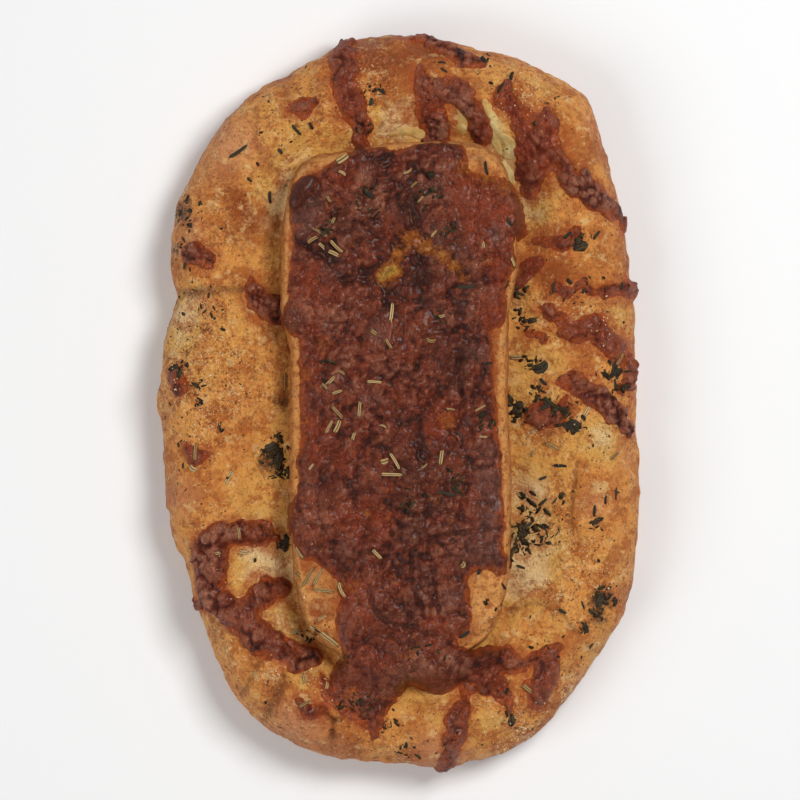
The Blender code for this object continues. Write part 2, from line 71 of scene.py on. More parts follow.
# Broad puffs and dimples of the crust: x, y, radius, height.
CRUST_PUFFS = (
    (0.054, 0.084, 0.016, 0.0015), (-0.006, 0.102, 0.013, 0.0009), (-0.051, 0.081, 0.014, 0.0012),
    (-0.058, 0.008, 0.017, 0.0013), (-0.066, -0.036, 0.013, 0.0010), (-0.045, -0.089, 0.012, 0.0014),
    (-0.024, -0.103, 0.011, 0.0011), (0.010, -0.106, 0.013, 0.0010), (0.062, -0.031, 0.014, 0.0015),
    (0.058, 0.046, 0.012, 0.0009), (-0.043, 0.057, 0.013, -0.0016), (0.044, 0.053, 0.010, -0.0012),
    (-0.048, -0.055, 0.012, -0.0016), (0.044, -0.067, 0.013, -0.0012), (-0.043, -0.016, 0.010, -0.0014),
    (0.042, -0.040, 0.011, -0.0014), (-0.066, 0.027, 0.009, -0.0016),
)
# Small taut blisters on the puffs: x, y, radius, height, in millimetres.
CRUST_BLISTERS = (
    (-50, 80, 8, 0.6), (-44, -85, 6, 0.9), (-32, -95, 8, 0.9), (-15, -105, 6, 0.8), (62, -27, 8, 0.8),
    (58, 88, 9, 0.5), (62, 62, 8, 0.5), (-68, -28, 7, 0.6), (12, -107, 6, 0.6), (-64, 66, 7, 0.6),
    (58, 18, 5, 0.5), (-48, 12, 9, 0.5), (30, 104, 8, 0.4), (-8, 108, 8, 0.4), (40, -100, 7, 0.4),
)
# Folds where two puffs meet: width, depth, and the line that the fold follows, in millimetres.
CRUST_FOLDS = (
    (1.5, 1.3, ((-73, 34), (-67, 33), (-58, 34), (-49, 34))),
    (1.3, 0.6, ((-45, 89), (-44, 78), (-37, 70))),
    (1.4, 1.0, ((-42, -78), (-45, -84), (-48, -90), (-50, -95))),
    (1.8, 1.3, ((-36, -86), (-38, -92), (-42, -99), (-45, -104))),
    (0.7, 1.5, ((-24, -95), (-22, -98), (-20.5, -99.5), (-21, -104))),
    (0.7, 1.2, ((-15, -96), (-18, -98), (-20.5, -99.5))),
    (1.4, 0.8, ((-21, -104), (-21.5, -108), (-22, -113))),
    (1.0, 1.0, ((54.5, -20), (53.5, -29), (52.5, -36), (53.5, -40))),
    (1.3, 0.8, ((34, -65), (43, -63), (49, -66), (55, -72))),
    (1.6, 0.5, ((-66, 0), (-55, -3), (-45, -9))),
    (1.5, 0.5, ((44, 102), (48, 94), (47, 87))),
    (1.2, 0.5, ((62, 30), (55, 30), (48, 33), (42, 32))),
    (1.2, 0.5, ((-60, 60), (-52, 52), (-46, 40))),
    (1.0, 0.5, ((-4, 113), (-3, 105), (-6, 97), (-5, 90))),
    (1.0, 0.5, ((45, -83), (52, -84), (60, -90))),
)
# Half width of the slab by direction in degrees, as its seat in the loaf follows it.
SLAB_HALF_WIDTHS = (
    (-90, 0.0340), (-60, 0.0348), (0, 0.0328), (38, 0.0330), (48, 0.0362),
    (142, 0.0366), (155, 0.0334), (240, 0.0338), (270, 0.0340),
)
SLAB_REACH_UPPER = 0.0795
SLAB_REACH_LOWER = 0.0830
SLAB_SQUARENESS_UPPER = 6.0
SLAB_SQUARENESS_LOWER = 4.0
SLAB_END_SPREAD = math.radians(8)
SLAB_LOBES = ((105, 9, -0.0032), (-76, 6, -0.0025), (-104, 6, -0.0025))
# Where the crust is pale and oily, browned, pinkish, scorched or in painted shadow, and rough with flecks:
# x, y, radius, strength, in millimetres.
PALE_SPOTS = (
    (-40, 62, 13, 0.9), (-33, 84, 11, 0.7), (-1, 85, 7, 1.3), (2, 92, 7, 0.7), (18, 87, 3, 1.4),
    (29, 84, 4, 1.3), (30, 76, 4, 1.4), (33, 72, 4, 1.3), (40, 60, 8, 0.8), (64, 27, 7, 0.9),
    (45, 8, 10, 0.8), (40, -30, 12, 0.8), (42, -50, 11, 0.9), (37, -58, 6, 0.8), (62, -11, 8, 0.7),
    (-44, -52, 12, 1.2), (-30, -87, 6, 0.8), (14, -96, 8, 0.8), (28, -101, 7, 0.9), (-42, -37, 8, 0.5),
    (-66, 8, 8, 0.4), (36, 96, 9, 0.6), (-56, -70, 6, 0.6), (-70, 14, 5, 1.0), (-67, 24, 5, 1.0),
    (-64, 32, 4, 0.8), (58, 78, 4, 0.3), (62, -82, 6, 0.7), (-66, 26, 8, 0.9), (62, -13, 7, 0.9),
    (-36, -70, 6, 0.9), (53, -98, 5, 0.6), (-64, -52, 5, 0.6),
)
BROWN_SPOTS = (
    (4, 108, 16, 1.6), (-12, 104, 9, 1.1), (54, 82, 13, 1.0), (62, 60, 10, 0.7), (70, 45, 8, 0.7),
    (48, 35, 9, 0.9), (44, 42, 7, 0.7), (57, 12, 6, 0.8), (58, 38, 6, 0.6), (46, 12, 6, 0.5),
    (58, 8, 8, 0.5), (66, -28, 12, 0.7), (57, -27, 7, 0.6), (66, -60, 10, 0.8), (52, -96, 10, 0.7),
    (32, -108, 9, 0.8), (10, -108, 11, 0.9), (-17, -105, 8, 1.0), (-30, -99, 9, 1.4), (-52, 60, 9, 0.8),
    (42, -104, 7, 0.4), (-46, -84, 9, 0.8), (-68, -30, 11, 1.0), (-66, -62, 7, 0.5), (-46, 52, 6, 0.9),
    (-48, 60, 6, 0.7), (-54, 78, 12, 0.6), (-66, 52, 9, 0.5), (-54, 24, 9, 0.5), (-44, 8, 10, 0.8),
    (-57, -22, 8, 0.5), (-36, 98, 8, 0.6), (40, -88, 7, 0.5), (30, -62, 5, 0.3), (44, 66, 6, 0.2),
    (35, 46, 5, 0.4),
)
PINK_SPOTS = (
    (-52, 80, 9, 1.0), (-66, 50, 8, 0.7), (-69, -30, 9, 0.7), (-31, -99, 9, 0.8), (12, -110, 9, 0.9),
    (56, -88, 7, 0.8), (61, -33, 6, 0.6), (-62, 30, 6, 0.6), (-20, -108, 7, 0.6), (58, 4, 4, 0.5),
)
# The three spots at x -37 to -40, just left of the slab, are painted shadow of the slab; the others are
# scorch.
SCORCH_AND_SHADE_SPOTS = (
    (62, -62, 4, 1.0), (62, -68, 3, 0.6), (-68, 58, 4, 0.8), (-37, 0, 4, 0.7), (-40, -19, 5, 0.9),
    (-37, 12, 3, 0.5), (36, -41, 4, 0.6), (-70, 47, 3, 0.6), (60, 45, 3, 0.5), (-57, 53, 4, 0.3),
    (39, -4, 6, 0.5), (47, -8, 6, 0.5), (-62, 3, 4, 0.3), (-26, 93, 4, 0.4), (37, 32, 4, 0.4),
)
SANDY_SPOTS = (
    (-64, 10, 14, 1.0), (-58, 26, 10, 0.8), (-50, 6, 12, 0.5), (-60, -10, 9, 0.7), (-50, 62, 12, 0.5),
    (-62, 46, 8, 0.6), (-30, 92, 14, 0.7), (-8, 98, 10, 0.8), (40, 98, 12, 0.6), (46, 58, 9, 0.5),
    (48, 26, 10, 0.9), (62, 26, 8, 0.8), (50, 0, 9, 0.7), (64, -8, 8, 0.8), (46, -44, 12, 0.9),
    (50, -66, 9, 0.7), (56, -88, 9, 0.9), (36, -98, 8, 0.7), (-44, -50, 8, 0.6), (-40, -88, 5, 0.9),
    (-36, -102, 5, 0.9), (-28, -80, 5, 0.7), (-58, -74, 6, 0.5), (-6, -102, 7, 0.6), (-52, -34, 7, 0.6),
    (66, -52, 9, 0.4),
)


def smooth_step(x):
    """0 below 0, 1 above 1, and a soft S between them."""
    x = np.clip(x, 0.0, 1.0)
    return x * x * (3.0 - 2.0 * x)


def superellipse(angle, half_x, half_y, squareness):
    """Reach of a rounded box in a direction: |x/half_x|^n + |y/half_y|^n = 1, solved for the radius."""
    flat = np.abs(np.cos(angle) / half_x) ** squareness
    return (flat + np.abs(np.sin(angle) / half_y) ** squareness) ** (-1.0 / squareness)


def lobes(angle, table):
    """Sum of bell curves round the circle, each with its direction, spread and height."""
    total = np.zeros_like(angle)
    for direction, spread, height in table:
        away = (angle - math.radians(direction) + math.pi) % (2 * math.pi) - math.pi
        total += height * np.exp(-((away / math.radians(spread)) ** 2))
    return total


def spots(x, y, table, unit=0.001):
    """Sum of round bells on the plan: strength times e to the minus squared distance over squared radius."""
    total = np.zeros_like(x)
    for middle_x, middle_y, radius, strength in table:
        away = (x / unit - middle_x) ** 2 + (y / unit - middle_y) ** 2
        total += strength * np.exp(-away / radius**2)
    return total


def soft_noise(points, size, seed):
    """Smooth noise from -1 to 1: random values on the corners of cubes of the given size, blended between
    them."""
    values = np.random.default_rng(seed).uniform(-1, 1, (32, 32, 32))
    place = points / size
    corner = np.floor(place).astype(int)
    share = smooth_step(place - corner)
    total = np.zeros(points.shape[:-1])
    for step in np.ndindex(2, 2, 2):
        weight = np.prod(np.where(step, share, 1 - share), axis=-1)
        i, j, k = np.moveaxis((corner + step) % 32, -1, 0)
        total += weight * values[i, j, k]
    return total


def nearest_middles(points, size, seed):
    """Distances, in cubes of the given size, to the nearest and second nearest of one random point in each
    cube."""
    middles = np.random.default_rng(seed).uniform(0.1, 0.9, (32, 32, 32, 3))
    place = points / size
    home = np.floor(place).astype(int)
    first = np.full(points.shape[:-1], 9.0)
    second = first.copy()
    for step in np.ndindex(3, 3, 3):
        cube = home + step - 1
        i, j, k = np.moveaxis(cube % 32, -1, 0)
        away = np.linalg.norm(place - cube - middles[i, j, k], axis=-1)
        second = np.minimum(second, np.maximum(first, away))
        first = np.minimum(first, away)
    return first, second


def smooth_line(points, steps=12):
    """A smooth curve (Catmull-Rom) through the given rows, in short steps."""
    rows = np.array(points, float)
    rows = np.vstack((2 * rows[0] - rows[1], rows, 2 * rows[-1] - rows[-2]))
    fine = []
    for a, b, c, d in zip(rows, rows[1:], rows[2:], rows[3:]):
        t = np.linspace(0.0, 1.0, steps, endpoint=False)[:, None]
        bend = (2 * a - 5 * b + 4 * c - d) * t**2 + (3 * b - a - 3 * c + d) * t**3
        fine.append(0.5 * (2 * b + (c - a) * t + bend))
    return np.vstack(fine + [rows[-2]])


def line_distance(x, y, line):
    """Distance on the plan to the nearest point of a line."""
    nearest = np.full(x.shape, 1.0)
    for line_x, line_y in line:
        nearest = np.minimum(nearest, np.hypot(x - line_x, y - line_y))
    return nearest


def bread_reach(angle):
    """The loaf's outline: a rounded box with its bulges and dents."""
    body = superellipse(angle, BREAD_HALF_WIDTH, BREAD_HALF_LENGTH, BREAD_SQUARENESS)
    return body + lobes(angle, OUTLINE_LOBES)


def slab_reach(angle):
    """The slab's outline: each side has its own half width, and the lower end is rounder than the upper
    one."""
    degrees = (np.degrees(angle) + 90) % 360 - 90
    half_x = np.interp(degrees, *zip(*SLAB_HALF_WIDTHS))
    above = np.arctan2(np.sin(angle), np.abs(np.cos(angle)))
    upper = smooth_step(above / SLAB_END_SPREAD + 0.5)
    half_y = SLAB_REACH_LOWER + (SLAB_REACH_UPPER - SLAB_REACH_LOWER) * upper
    squareness = SLAB_SQUARENESS_LOWER + (SLAB_SQUARENESS_UPPER - SLAB_SQUARENESS_LOWER) * upper
    return superellipse(angle, half_x, half_y, squareness) + lobes(angle, SLAB_LOBES)


def crust_point(angle, station, lift=0.0):
    """A point of the smooth crust. From seat to crest it rises in a soft S, from crest to waist and from
    waist to foot it is a quarter of an ellipse. Lift and the broad puffs move the point along the crust's
    own tilt."""
    seat = slab_reach(angle) + SEAT_GAP
    edge = bread_reach(angle)
    crest = edge - SHOULDER
    inner = np.clip(station, 0.0, 1.0)
    tilt = np.clip(station - 1.0, 0.0, 2.0) * (math.pi / 2)
    over = np.where(station > 2.0, FOOT_INSET, SHOULDER)
    start = np.where(station > 2.0, edge - FOOT_INSET, crest)
    reach = np.where(station < 1.0, seat + (crest - seat) * inner, start + over * np.sin(tilt))
    rise = np.where(station > 2.0, WAIST_HEIGHT, RIM_HEIGHT - WAIST_HEIGHT)
    field = FIELD_HEIGHT + (RIM_HEIGHT - FIELD_HEIGHT) * smooth_step(inner)
    height = np.where(station < 1.0, field, WAIST_HEIGHT + rise * np.cos(tilt))
    fade = smooth_step(station / 0.15) * smooth_step(2.8 - station)
    puffs = spots(reach * np.cos(angle), reach * np.sin(angle), CRUST_PUFFS, 1.0)
    raised = lift + fade * puffs
    reach = reach + raised * np.sin(tilt)
    height = height + raised * np.cos(tilt)
    return np.stack((reach * np.cos(angle), reach * np.sin(angle), height), axis=-1)


def station_below(x, y):
    """Direction and station of the crust under a point of the plan. Past the edge it runs down the side."""
    angle = np.arctan2(y, x)
    reach = np.hypot(x, y)
    seat = slab_reach(angle) + SEAT_GAP
    edge = bread_reach(angle)
    crest = edge - SHOULDER
    inner = np.clip((reach - seat) / (crest - seat), 0.0, 1.0)
    shoulder = np.arcsin(np.clip((reach - crest) / SHOULDER, 0.0, 1.0)) / (math.pi / 2)
    side = np.clip((reach - edge) / SIDE_LENGTH, 0.0, 0.6)
    return angle, inner + shoulder + side


def ridges(x, y, table):
    """Height of ridges on the plan: for each, a bell across its line."""
    total = np.zeros_like(x)
    for width, height, line in table:
        away = line_distance(x, y, smooth_line(np.array(line) / 1000))
        total += height * np.exp(-((away / (width / 1000)) ** 2))
    return total


def crust_detail(points):
    """Fine height of the crust: taut blisters, plus noise of three sizes that is weaker on them. The depth
    of the folds, as bells across their lines, comes with it."""
    x, y = points[..., 0], points[..., 1]
    blisters = spots(x, y, CRUST_BLISTERS)
    calm = 1 - 0.6 * smooth_step(blisters * 1.6)
    rough = 0.8 * soft_noise(points, 0.0085, 1)
    rough += calm * (0.6 * soft_noise(points, 0.0036, 2) + 0.26 * soft_noise(points, 0.0015, 3))
    return (1.3 * blisters + rough) / 1000, ridges(x, y, CRUST_FOLDS) / 1000


def crust_surface(angle, station, lift=0.0):
    """The crust with its fine height, which fades out towards the flat foot and into the seat."""
    height, folds = crust_detail(crust_point(angle, station))
    fade = smooth_step(station / 0.1) * smooth_step((2.95 - station) / 0.5)
    edge = 1 - 0.8 * smooth_step((station - 1.5) / 0.4)
    return crust_point(angle, station, lift + fade * (height - folds * edge))


def mesh_piece(name, points, faces, paints, material):
    """Puts whole arrays of points, faces and painted values into a new smooth object that rides on the
    loaf."""
    mesh = bpy.data.meshes.new(name)
    mesh.from_pydata(points, [], faces)
    mesh.shade_smooth()
    for label, values in paints.items():
        layer = mesh.attributes.new(label, "FLOAT", "POINT")
        layer.data.foreach_set("value", np.ascontiguousarray(values, np.float32).ravel())
    mesh.materials.append(material)
    piece = bpy.data.objects.new(name, mesh)
    bpy.context.scene.collection.objects.link(piece)
    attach(piece, "root")
    return piece


def ringed_faces(rows, columns):
    """Faces of a closed body of rings: four-cornered between rings, and a fan to one point at each end."""
    numbers = np.arange(rows * columns).reshape(rows, columns)
    low, high = numbers[:-1], numbers[1:]
    sides = np.stack((low, np.roll(low, -1, 1), np.roll(high, -1, 1), high), axis=-1).reshape(-1, 4)
    first, last = numbers[0], numbers[-1]
    bottom = np.full(columns, rows * columns)
    start = np.stack((bottom, np.roll(first, -1), first), axis=-1)
    end = np.stack((last, np.roll(last, -1), bottom + 1), axis=-1)
    return sides.tolist() + start.tolist() + end.tolist()


def add_node(tree, kind, inputs=(), **settings):
    """Adds one shader node, sets its settings, and gives inputs a value or a link each."""
    node = tree.nodes.new(kind)
    for setting, value in settings.items():
        setattr(node, setting, value)
    for socket, value in inputs:
        if isinstance(value, bpy.types.NodeSocket):
            tree.links.new(value, node.inputs[socket])
        else:
            node.inputs[socket].default_value = value
    return node


def tint(red, green, blue):
    """A colour given as a screen shows it, from 0 to 255, as the shader takes it."""
    share = np.array((red, green, blue)) / 255
    return (*np.where(share < 0.04045, share / 12.92, ((share + 0.055) / 1.055) ** 2.4), 1.0)


def mixed(tree, share, low, high, way="MIX"):
    """Colour low where share is 0 and high where it is 1."""
    inputs = ((0, share), (6, low), (7, high))
    return add_node(tree, "ShaderNodeMix", inputs, data_type="RGBA", blend_type=way).outputs[2]


def spread(tree, value, low, high, to_low=0.0, to_high=1.0):
    """Value carried from the range low to high onto another range, and held there."""
    inputs = ((0, value), (1, low), (2, high), (3, to_low), (4, to_high))
    return add_node(tree, "ShaderNodeMapRange", inputs).outputs[0]


def summed(tree, a, b, way="ADD"):
    """Two values joined by one sum, product or the like."""
    return add_node(tree, "ShaderNodeMath", ((0, a), (1, b)), operation=way).outputs[0]


def painted(tree, label):
    """The value that the mesh carries under that name."""
    return add_node(tree, "ShaderNodeAttribute", attribute_name=label).outputs["Fac"]


def grain(tree, scale, detail=3.0, rough=0.55, stretch=(1.0, 1.0, 1.0)):
    """Noise from about 0.2 to 0.8 that lies still in the piece: scale in waves per metre."""
    place = add_node(tree, "ShaderNodeTexCoord").outputs["Object"]
    place = add_node(tree, "ShaderNodeMapping", ((0, place), (3, stretch))).outputs[0]
    inputs = ((0, place), ("Scale", scale), ("Detail", detail), ("Roughness", rough))
    return add_node(tree, "ShaderNodeTexNoise", inputs).outputs[0]


def build_baked_grain():
    """Node group of a baked surface: soft mottling and a finer mottling, each 0 to 1, and its fine
    height."""
    group = bpy.data.node_groups.new("baked_grain", "ShaderNodeTree")
    for label in ("Broad Scale", "Fine Scale", "Height Scale"):
        group.interface.new_socket(label, in_out="INPUT", socket_type="NodeSocketFloat")
    for label in ("Broad", "Fine", "Height"):
        group.interface.new_socket(label, in_out="OUTPUT", socket_type="NodeSocketFloat")
    given = add_node(group, "NodeGroupInput")
    broad = spread(group, grain(group, given.outputs["Broad Scale"], 2.0), 0.34, 0.66)
    fine = spread(group, grain(group, given.outputs["Fine Scale"], 4.0, 0.65), 0.32, 0.68)
    height = grain(group, given.outputs["Height Scale"], 5.0, 0.7)
    add_node(group, "NodeGroupOutput", (("Broad", broad), ("Fine", fine), ("Height", height)))
    return group


BAKED_GRAIN = build_baked_grain()


def start_material(name, specular):
    """A new material: it, its nodes and its shader, which has its specular level set."""
    material = bpy.data.materials.new(name)
    material.use_nodes = True
    shader = material.node_tree.nodes["Principled BSDF"]
    shader.inputs["Specular IOR Level"].default_value = specular
    return material, material.node_tree, shader


def join_bump(tree, shader, height, strength, distance):
    """Joins a fine height to the shader as its bump."""
    inputs = (("Strength", strength), ("Distance", distance), ("Height", height))
    tree.links.new(add_node(tree, "ShaderNodeBump", inputs).outputs[0], shader.inputs["Normal"])


def coated(tree, colour, swing, layers):
    """Colour with layers over it, each where a painted value plus a swing goes from low to high: the
    value's name, low, high, the layer's share at high, and its tint."""
    for label, low, high, most, shade in layers:
        share = spread(tree, summed(tree, painted(tree, label), swing), low, high, 0.0, most)
        colour = mixed(tree, share, colour, shade)
    return colour


def flecked(tree, colour, layers):
    """Colour with flecks over it, each where a noise goes from low to high: the noise's scale, detail and
    roughness, low, high, the flecks' share at high, and their tint."""
    for scale, detail, rough, low, high, most, shade in layers:
        share = spread(tree, grain(tree, scale, detail, rough), low, high, 0.0, most)
        colour = mixed(tree, share, colour, shade)
    return colour


def baked_grain(tree, broad, fine, height):
    """The baked surface's mottling in a material, with its own three scales."""
    inputs = (("Broad Scale", broad), ("Fine Scale", fine), ("Height Scale", height))
    return add_node(tree, "ShaderNodeGroup", inputs, node_tree=BAKED_GRAIN).outputs


def crust_material():
    """Golden crust: paler and oilier by the slab, browned and pinkish on the rim, flecked, speckled and
    scorched in spots, with painted shade in its folds and painted shadow beside the slab's left side.
    """
    material, tree, shader = start_material("golden_crust", 0.25)
    baked = baked_grain(tree, 190.0, 620.0, 1100.0)
    swing = spread(tree, baked["Fine"], 0.0, 1.0, -0.35, 0.35)
    sandy = painted(tree, "sandy")
    pale = summed(tree, painted(tree, "pale"), spread(tree, baked["Broad"], 0.0, 1.0, -0.25, 0.25))
    colour = mixed(tree, spread(tree, pale, 0.1, 1.0), tint(228, 153, 75), tint(224, 167, 83))
    colour = mixed(tree, spread(tree, pale, 1.0, 1.7), colour, tint(240, 203, 145))
    colour = flecked(tree, colour, ((150.0, 6.0, 0.72, 0.50, 0.58, 0.75, tint(176, 90, 34)),))
    colour = coated(tree, colour, swing, (
        ("brown", 0.25, 0.65, 0.6, tint(186, 100, 40)),
        ("brown", 0.7, 1.5, 0.9, tint(150, 70, 24)),
    ))
    colour = coated(tree, colour, 0.0, (("pink", 0.1, 1.1, 0.85, tint(222, 150, 102)),))
    colour = coated(tree, colour, swing, (("stain", 0.1, 1.2, 0.85, tint(178, 86, 36)),))
    colour = flecked(tree, colour, ((240.0, 6.0, 0.72, 0.55, 0.63, 0.55, tint(244, 204, 138)),))
    marks = spread(tree, grain(tree, 430.0, 5.0, 0.68), 0.57, 0.63)
    marks = summed(tree, marks, spread(tree, sandy, 0.0, 1.0, 0.35, 0.85), "MULTIPLY")
    colour = mixed(tree, marks, colour, tint(128, 64, 28))
    # Painted shade in the folds, then scorch and the painted shadow of the slab.
    colour = coated(tree, colour, swing, (
        ("fold_shade", 0.2, 1.4, 0.8, tint(112, 60, 28)),
        ("scorch_and_shade", 0.2, 1.0, 0.9, tint(64, 40, 24)),
    ))
    fine = spread(tree, grain(tree, 1000.0, 4.0, 0.65), 0.3, 0.7, -0.32, 0.26)
    rough = summed(tree, spread(tree, sandy, 0.0, 1.0, 0.3, 1.2), fine, "MULTIPLY")
    shade = summed(tree, rough, 1.0)
    shade = add_node(tree, "ShaderNodeCombineColor", ((0, shade), (1, shade), (2, shade))).outputs[0]
    colour = mixed(tree, 1.0, colour, shade, "MULTIPLY")
    for scale, detail, low, least, most, dust in (
        (1700.0, 1.5, 0.60, 0.08, 0.75, tint(232, 200, 146)),
        (900.0, 2.0, 0.62, 0.4, 0.9, tint(120, 62, 30)),
    ):
        fleck = spread(tree, grain(tree, scale, detail), low, 0.68)
        fleck = summed(tree, fleck, spread(tree, sandy, 0.1, 0.9, least, most), "MULTIPLY")
        colour = mixed(tree, fleck, colour, dust)
    tree.links.new(colour, shader.inputs["Base Color"])
    oily = spread(tree, pale, 0.2, 1.2, 0.0, 0.12)
    gloss = summed(tree, spread(tree, baked["Fine"], 0.0, 1.0, 0.40, 0.62), oily, "SUBTRACT")
    tree.links.new(gloss, shader.inputs["Roughness"])
    join_bump(tree, shader, baked["Height"], 0.9, 0.0010)
    return material


def make_loaf():
    """The loaf from the middle of its flat base round the side and over the rim to the floor of the seat."""
    fine = np.linspace(0.0, 2 * math.pi, 8001)
    middle = (slab_reach(fine) + bread_reach(fine)) / 2
    steps = np.hypot(np.diff(middle * np.cos(fine)), np.diff(middle * np.sin(fine)))
    travelled = np.concatenate(([0.0], np.cumsum(steps)))
    even = np.arange(CRUST_DIRECTIONS) / CRUST_DIRECTIONS * travelled[-1]
    angles = np.interp(even, travelled, fine)
    stations = np.concatenate((np.linspace(3, 2, SIDE_RINGS)[:-1], np.linspace(2, 1, SHOULDER_RINGS)[:-1],
                               np.linspace(1, 0, FIELD_RINGS)))
    angle, station = np.meshgrid(angles, stations)
    crust = crust_surface(angle, station)
    base = np.stack([crust[0] * (share, share, 0) for share in (0.35, 0.7, 0.92)])
    floor = np.stack([crust[-1] * (share, share, 0) + (0, 0, SEAT_FLOOR) for share in (1.0, 0.6)])
    rings = np.concatenate((base, crust, floor))
    numbers = np.concatenate((np.full(3, 3.0), stations, np.zeros(2)))
    poles = np.array(((0.0, 0.0, 0.0), (0.0, 0.0, SEAT_FLOOR)))
    points = np.concatenate((rings.reshape(-1, 3), poles))
    station = np.concatenate((np.repeat(numbers, CRUST_DIRECTIONS), (3.0, 0.0)))
    x, y = points[:, 0], points[:, 1]
    rim = smooth_step((station - 0.55) / 0.7)
    paints = {
        "pale": 0.62 * smooth_step(1.15 - station) + spots(x, y, PALE_SPOTS)
        + 0.3 * soft_noise(points, 0.009, 7),
        "brown": spots(x, y, BROWN_SPOTS) + 0.45 * soft_noise(points, 0.013, 5)
        + 0.45 * soft_noise(points, 0.005, 8) + 0.35 * smooth_step((station - 1.5) / 0.5),
        "pink": spots(x, y, PINK_SPOTS) + 0.35 * rim * soft_noise(points, 0.017, 6),
        "sandy": spots(x, y, SANDY_SPOTS) + 0.35 * soft_noise(points, 0.012, 9),
        # Painted shade along the folds' lines, weaker down the side.
        "fold_shade": 1000 * crust_detail(points)[1] * (1 - 0.7 * smooth_step((station - 1.5) / 0.4)),
        "scorch_and_shade": spots(x, y, SCORCH_AND_SHADE_SPOTS) * smooth_step((2.4 - station) / 0.6),
        "stain": np.zeros_like(x),
    }
    faces = ringed_faces(len(rings), CRUST_DIRECTIONS)
    return mesh_piece("loaf", points, faces, paints, crust_material())


loaf = make_loaf()
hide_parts("focaccia_bread")

# The slab of brie. One long block of soft cheese in its own rind, laid on the dough before baking: the rind
# dried to a smooth tan lip along the top edge, painted lighter there as highlight too, and the corners
# slumped and creased as the inside melted.
SLAB_TOP = 0.0310
SLAB_CROWN = 0.0010
SLAB_EDGE_ROUND = 0.0030
SLAB_FOOT_ROUND = 0.0015
SLAB_BELLY = 0.0005
REST_GAP = 0.0004
SLAB_DIRECTIONS = 700
# How far in from the lip the rings of the top follow the slab's outline, before they shrink to its middle.
TOP_BORDER = 0.0100
# Creases of the slumped corners: width, depth, and the line that the crease follows, in millimetres.
RIND_CREASES = (
    (0.7, 1.1, ((18, -76.5), (22, -75), (26, -72), (30, -69.5))),
    (0.6, 0.6, ((24, -79), (28, -76.5), (31, -73))),
    (0.5, 0.5, ((-20, -78), (-25, -73), (-28, -66))),
    (0.5, 0.4, ((22, 74), (27, 73), (31, 70))),
)
# The slumped corners, and the brightest part of them: x, y, radius, strength, in millimetres.
CORNER_SPOTS = (
    (-27, -58, 7, 1.0), (-23, -72, 6, 1.0), (26, -64, 8, 0.8), (30, -58, 6, 0.8), (24, 76, 9, 0.8),
)
BRIGHT_SPOTS = ((29, -59, 7, 1.0),)
# Lumps of the slumped corners: x, y, radius, height, in millimetres.
RIND_LUMPS = (
    (-30, -54, 2.2, 0.9), (-27, -57, 1.8, -0.5), (-24.5, -59.5, 2.4, 1.0), (-28.5, -61.5, 2.2, 0.7),
    (-22, -64.5, 2.0, 0.9), (-26, -66.5, 1.6, -0.5), (-24.4, -69.4, 2.2, 0.9), (-21.4, -72.8, 1.8, 0.8),
    (25, -57, 2.2, 0.8), (29.4, -58.6, 2.4, 0.9), (27, -62, 1.8, -0.5), (23.6, -65, 2.4, 0.8),
    (28, -66.5, 2.6, 0.5), (23, -70.5, 2.0, 0.7), (27, 74, 2.4, 0.6),
)


def slab_top_height(x, y):
    """The slab's crowned, slightly wavy top."""
    crown = 1.0 - (x / SLAB_HALF_WIDTHS[0][1]) ** 2 / 2 - (y / SLAB_REACH_LOWER) ** 2 / 2
    waves = np.sin(x / 0.013 + 1.0) * np.cos(y / 0.019) * 0.0004
    return SLAB_TOP + SLAB_CROWN * crown + waves


def rind_detail(points):
    """Fine height of the rind: noise of three sizes and the lumps of the corners, less the creases."""
    x, y = points[..., 0], points[..., 1]
    noise = 0.5 * soft_noise(points, 0.006, 21) + 0.34 * soft_noise(points, 0.0026, 22)
    noise += 0.2 * soft_noise(points, 0.0013, 23) + 2.3 * spots(x, y, RIND_LUMPS)
    return (noise - ridges(x, y, RIND_CREASES)) / 1000


def slab_height(x, y):
    """Height of the slab's top at a point of the plan: the crown, rounded off as a quarter circle at the
    edge."""
    inside = slab_reach(np.arctan2(y, x)) - np.hypot(x, y)
    edge = SLAB_TOP - SLAB_EDGE_ROUND
    round_off = np.sqrt(1 - (1 - np.clip(inside / SLAB_EDGE_ROUND, 0.0, 1.0)) ** 2)
    top = slab_top_height(x, y)
    flat = np.stack((x, y, top), axis=-1)
    return edge + (top - edge) * round_off + rind_detail(flat) * round_off


def rind_material():
    """Tan-orange baked rind, a little paler on its lip, partly its dried colour and partly painted
    highlight, with fine grain across it.
    """
    material, tree, shader = start_material("baked_rind", 0.35)
    baked = baked_grain(tree, 240.0, 700.0, 1200.0)
    swing = spread(tree, baked["Fine"], 0.0, 1.0, -0.4, 0.4)
    colour = mixed(tree, baked["Broad"], tint(218, 132, 66), tint(236, 163, 91))
    colour = coated(tree, colour, swing, (
        ("lip", 0.1, 1.3, 0.9, tint(250, 173, 93)),
        ("toasted", 0.1, 1.0, 0.85, tint(172, 82, 32)),
    ))
    colour = flecked(tree, colour, (
        (380.0, 5.0, 0.70, 0.49, 0.60, 0.75, tint(176, 92, 38)),
        (210.0, 4.0, 0.65, 0.54, 0.64, 0.5, tint(238, 186, 122)),
        (1300.0, 2.0, 0.55, 0.58, 0.68, 0.6, tint(130, 70, 32)),
    ))
    tree.links.new(colour, shader.inputs["Base Color"])
    tree.links.new(spread(tree, baked["Fine"], 0.0, 1.0, 0.45, 0.65), shader.inputs["Roughness"])
    join_bump(tree, shader, baked["Height"], 1.0, 0.0013)
    return material


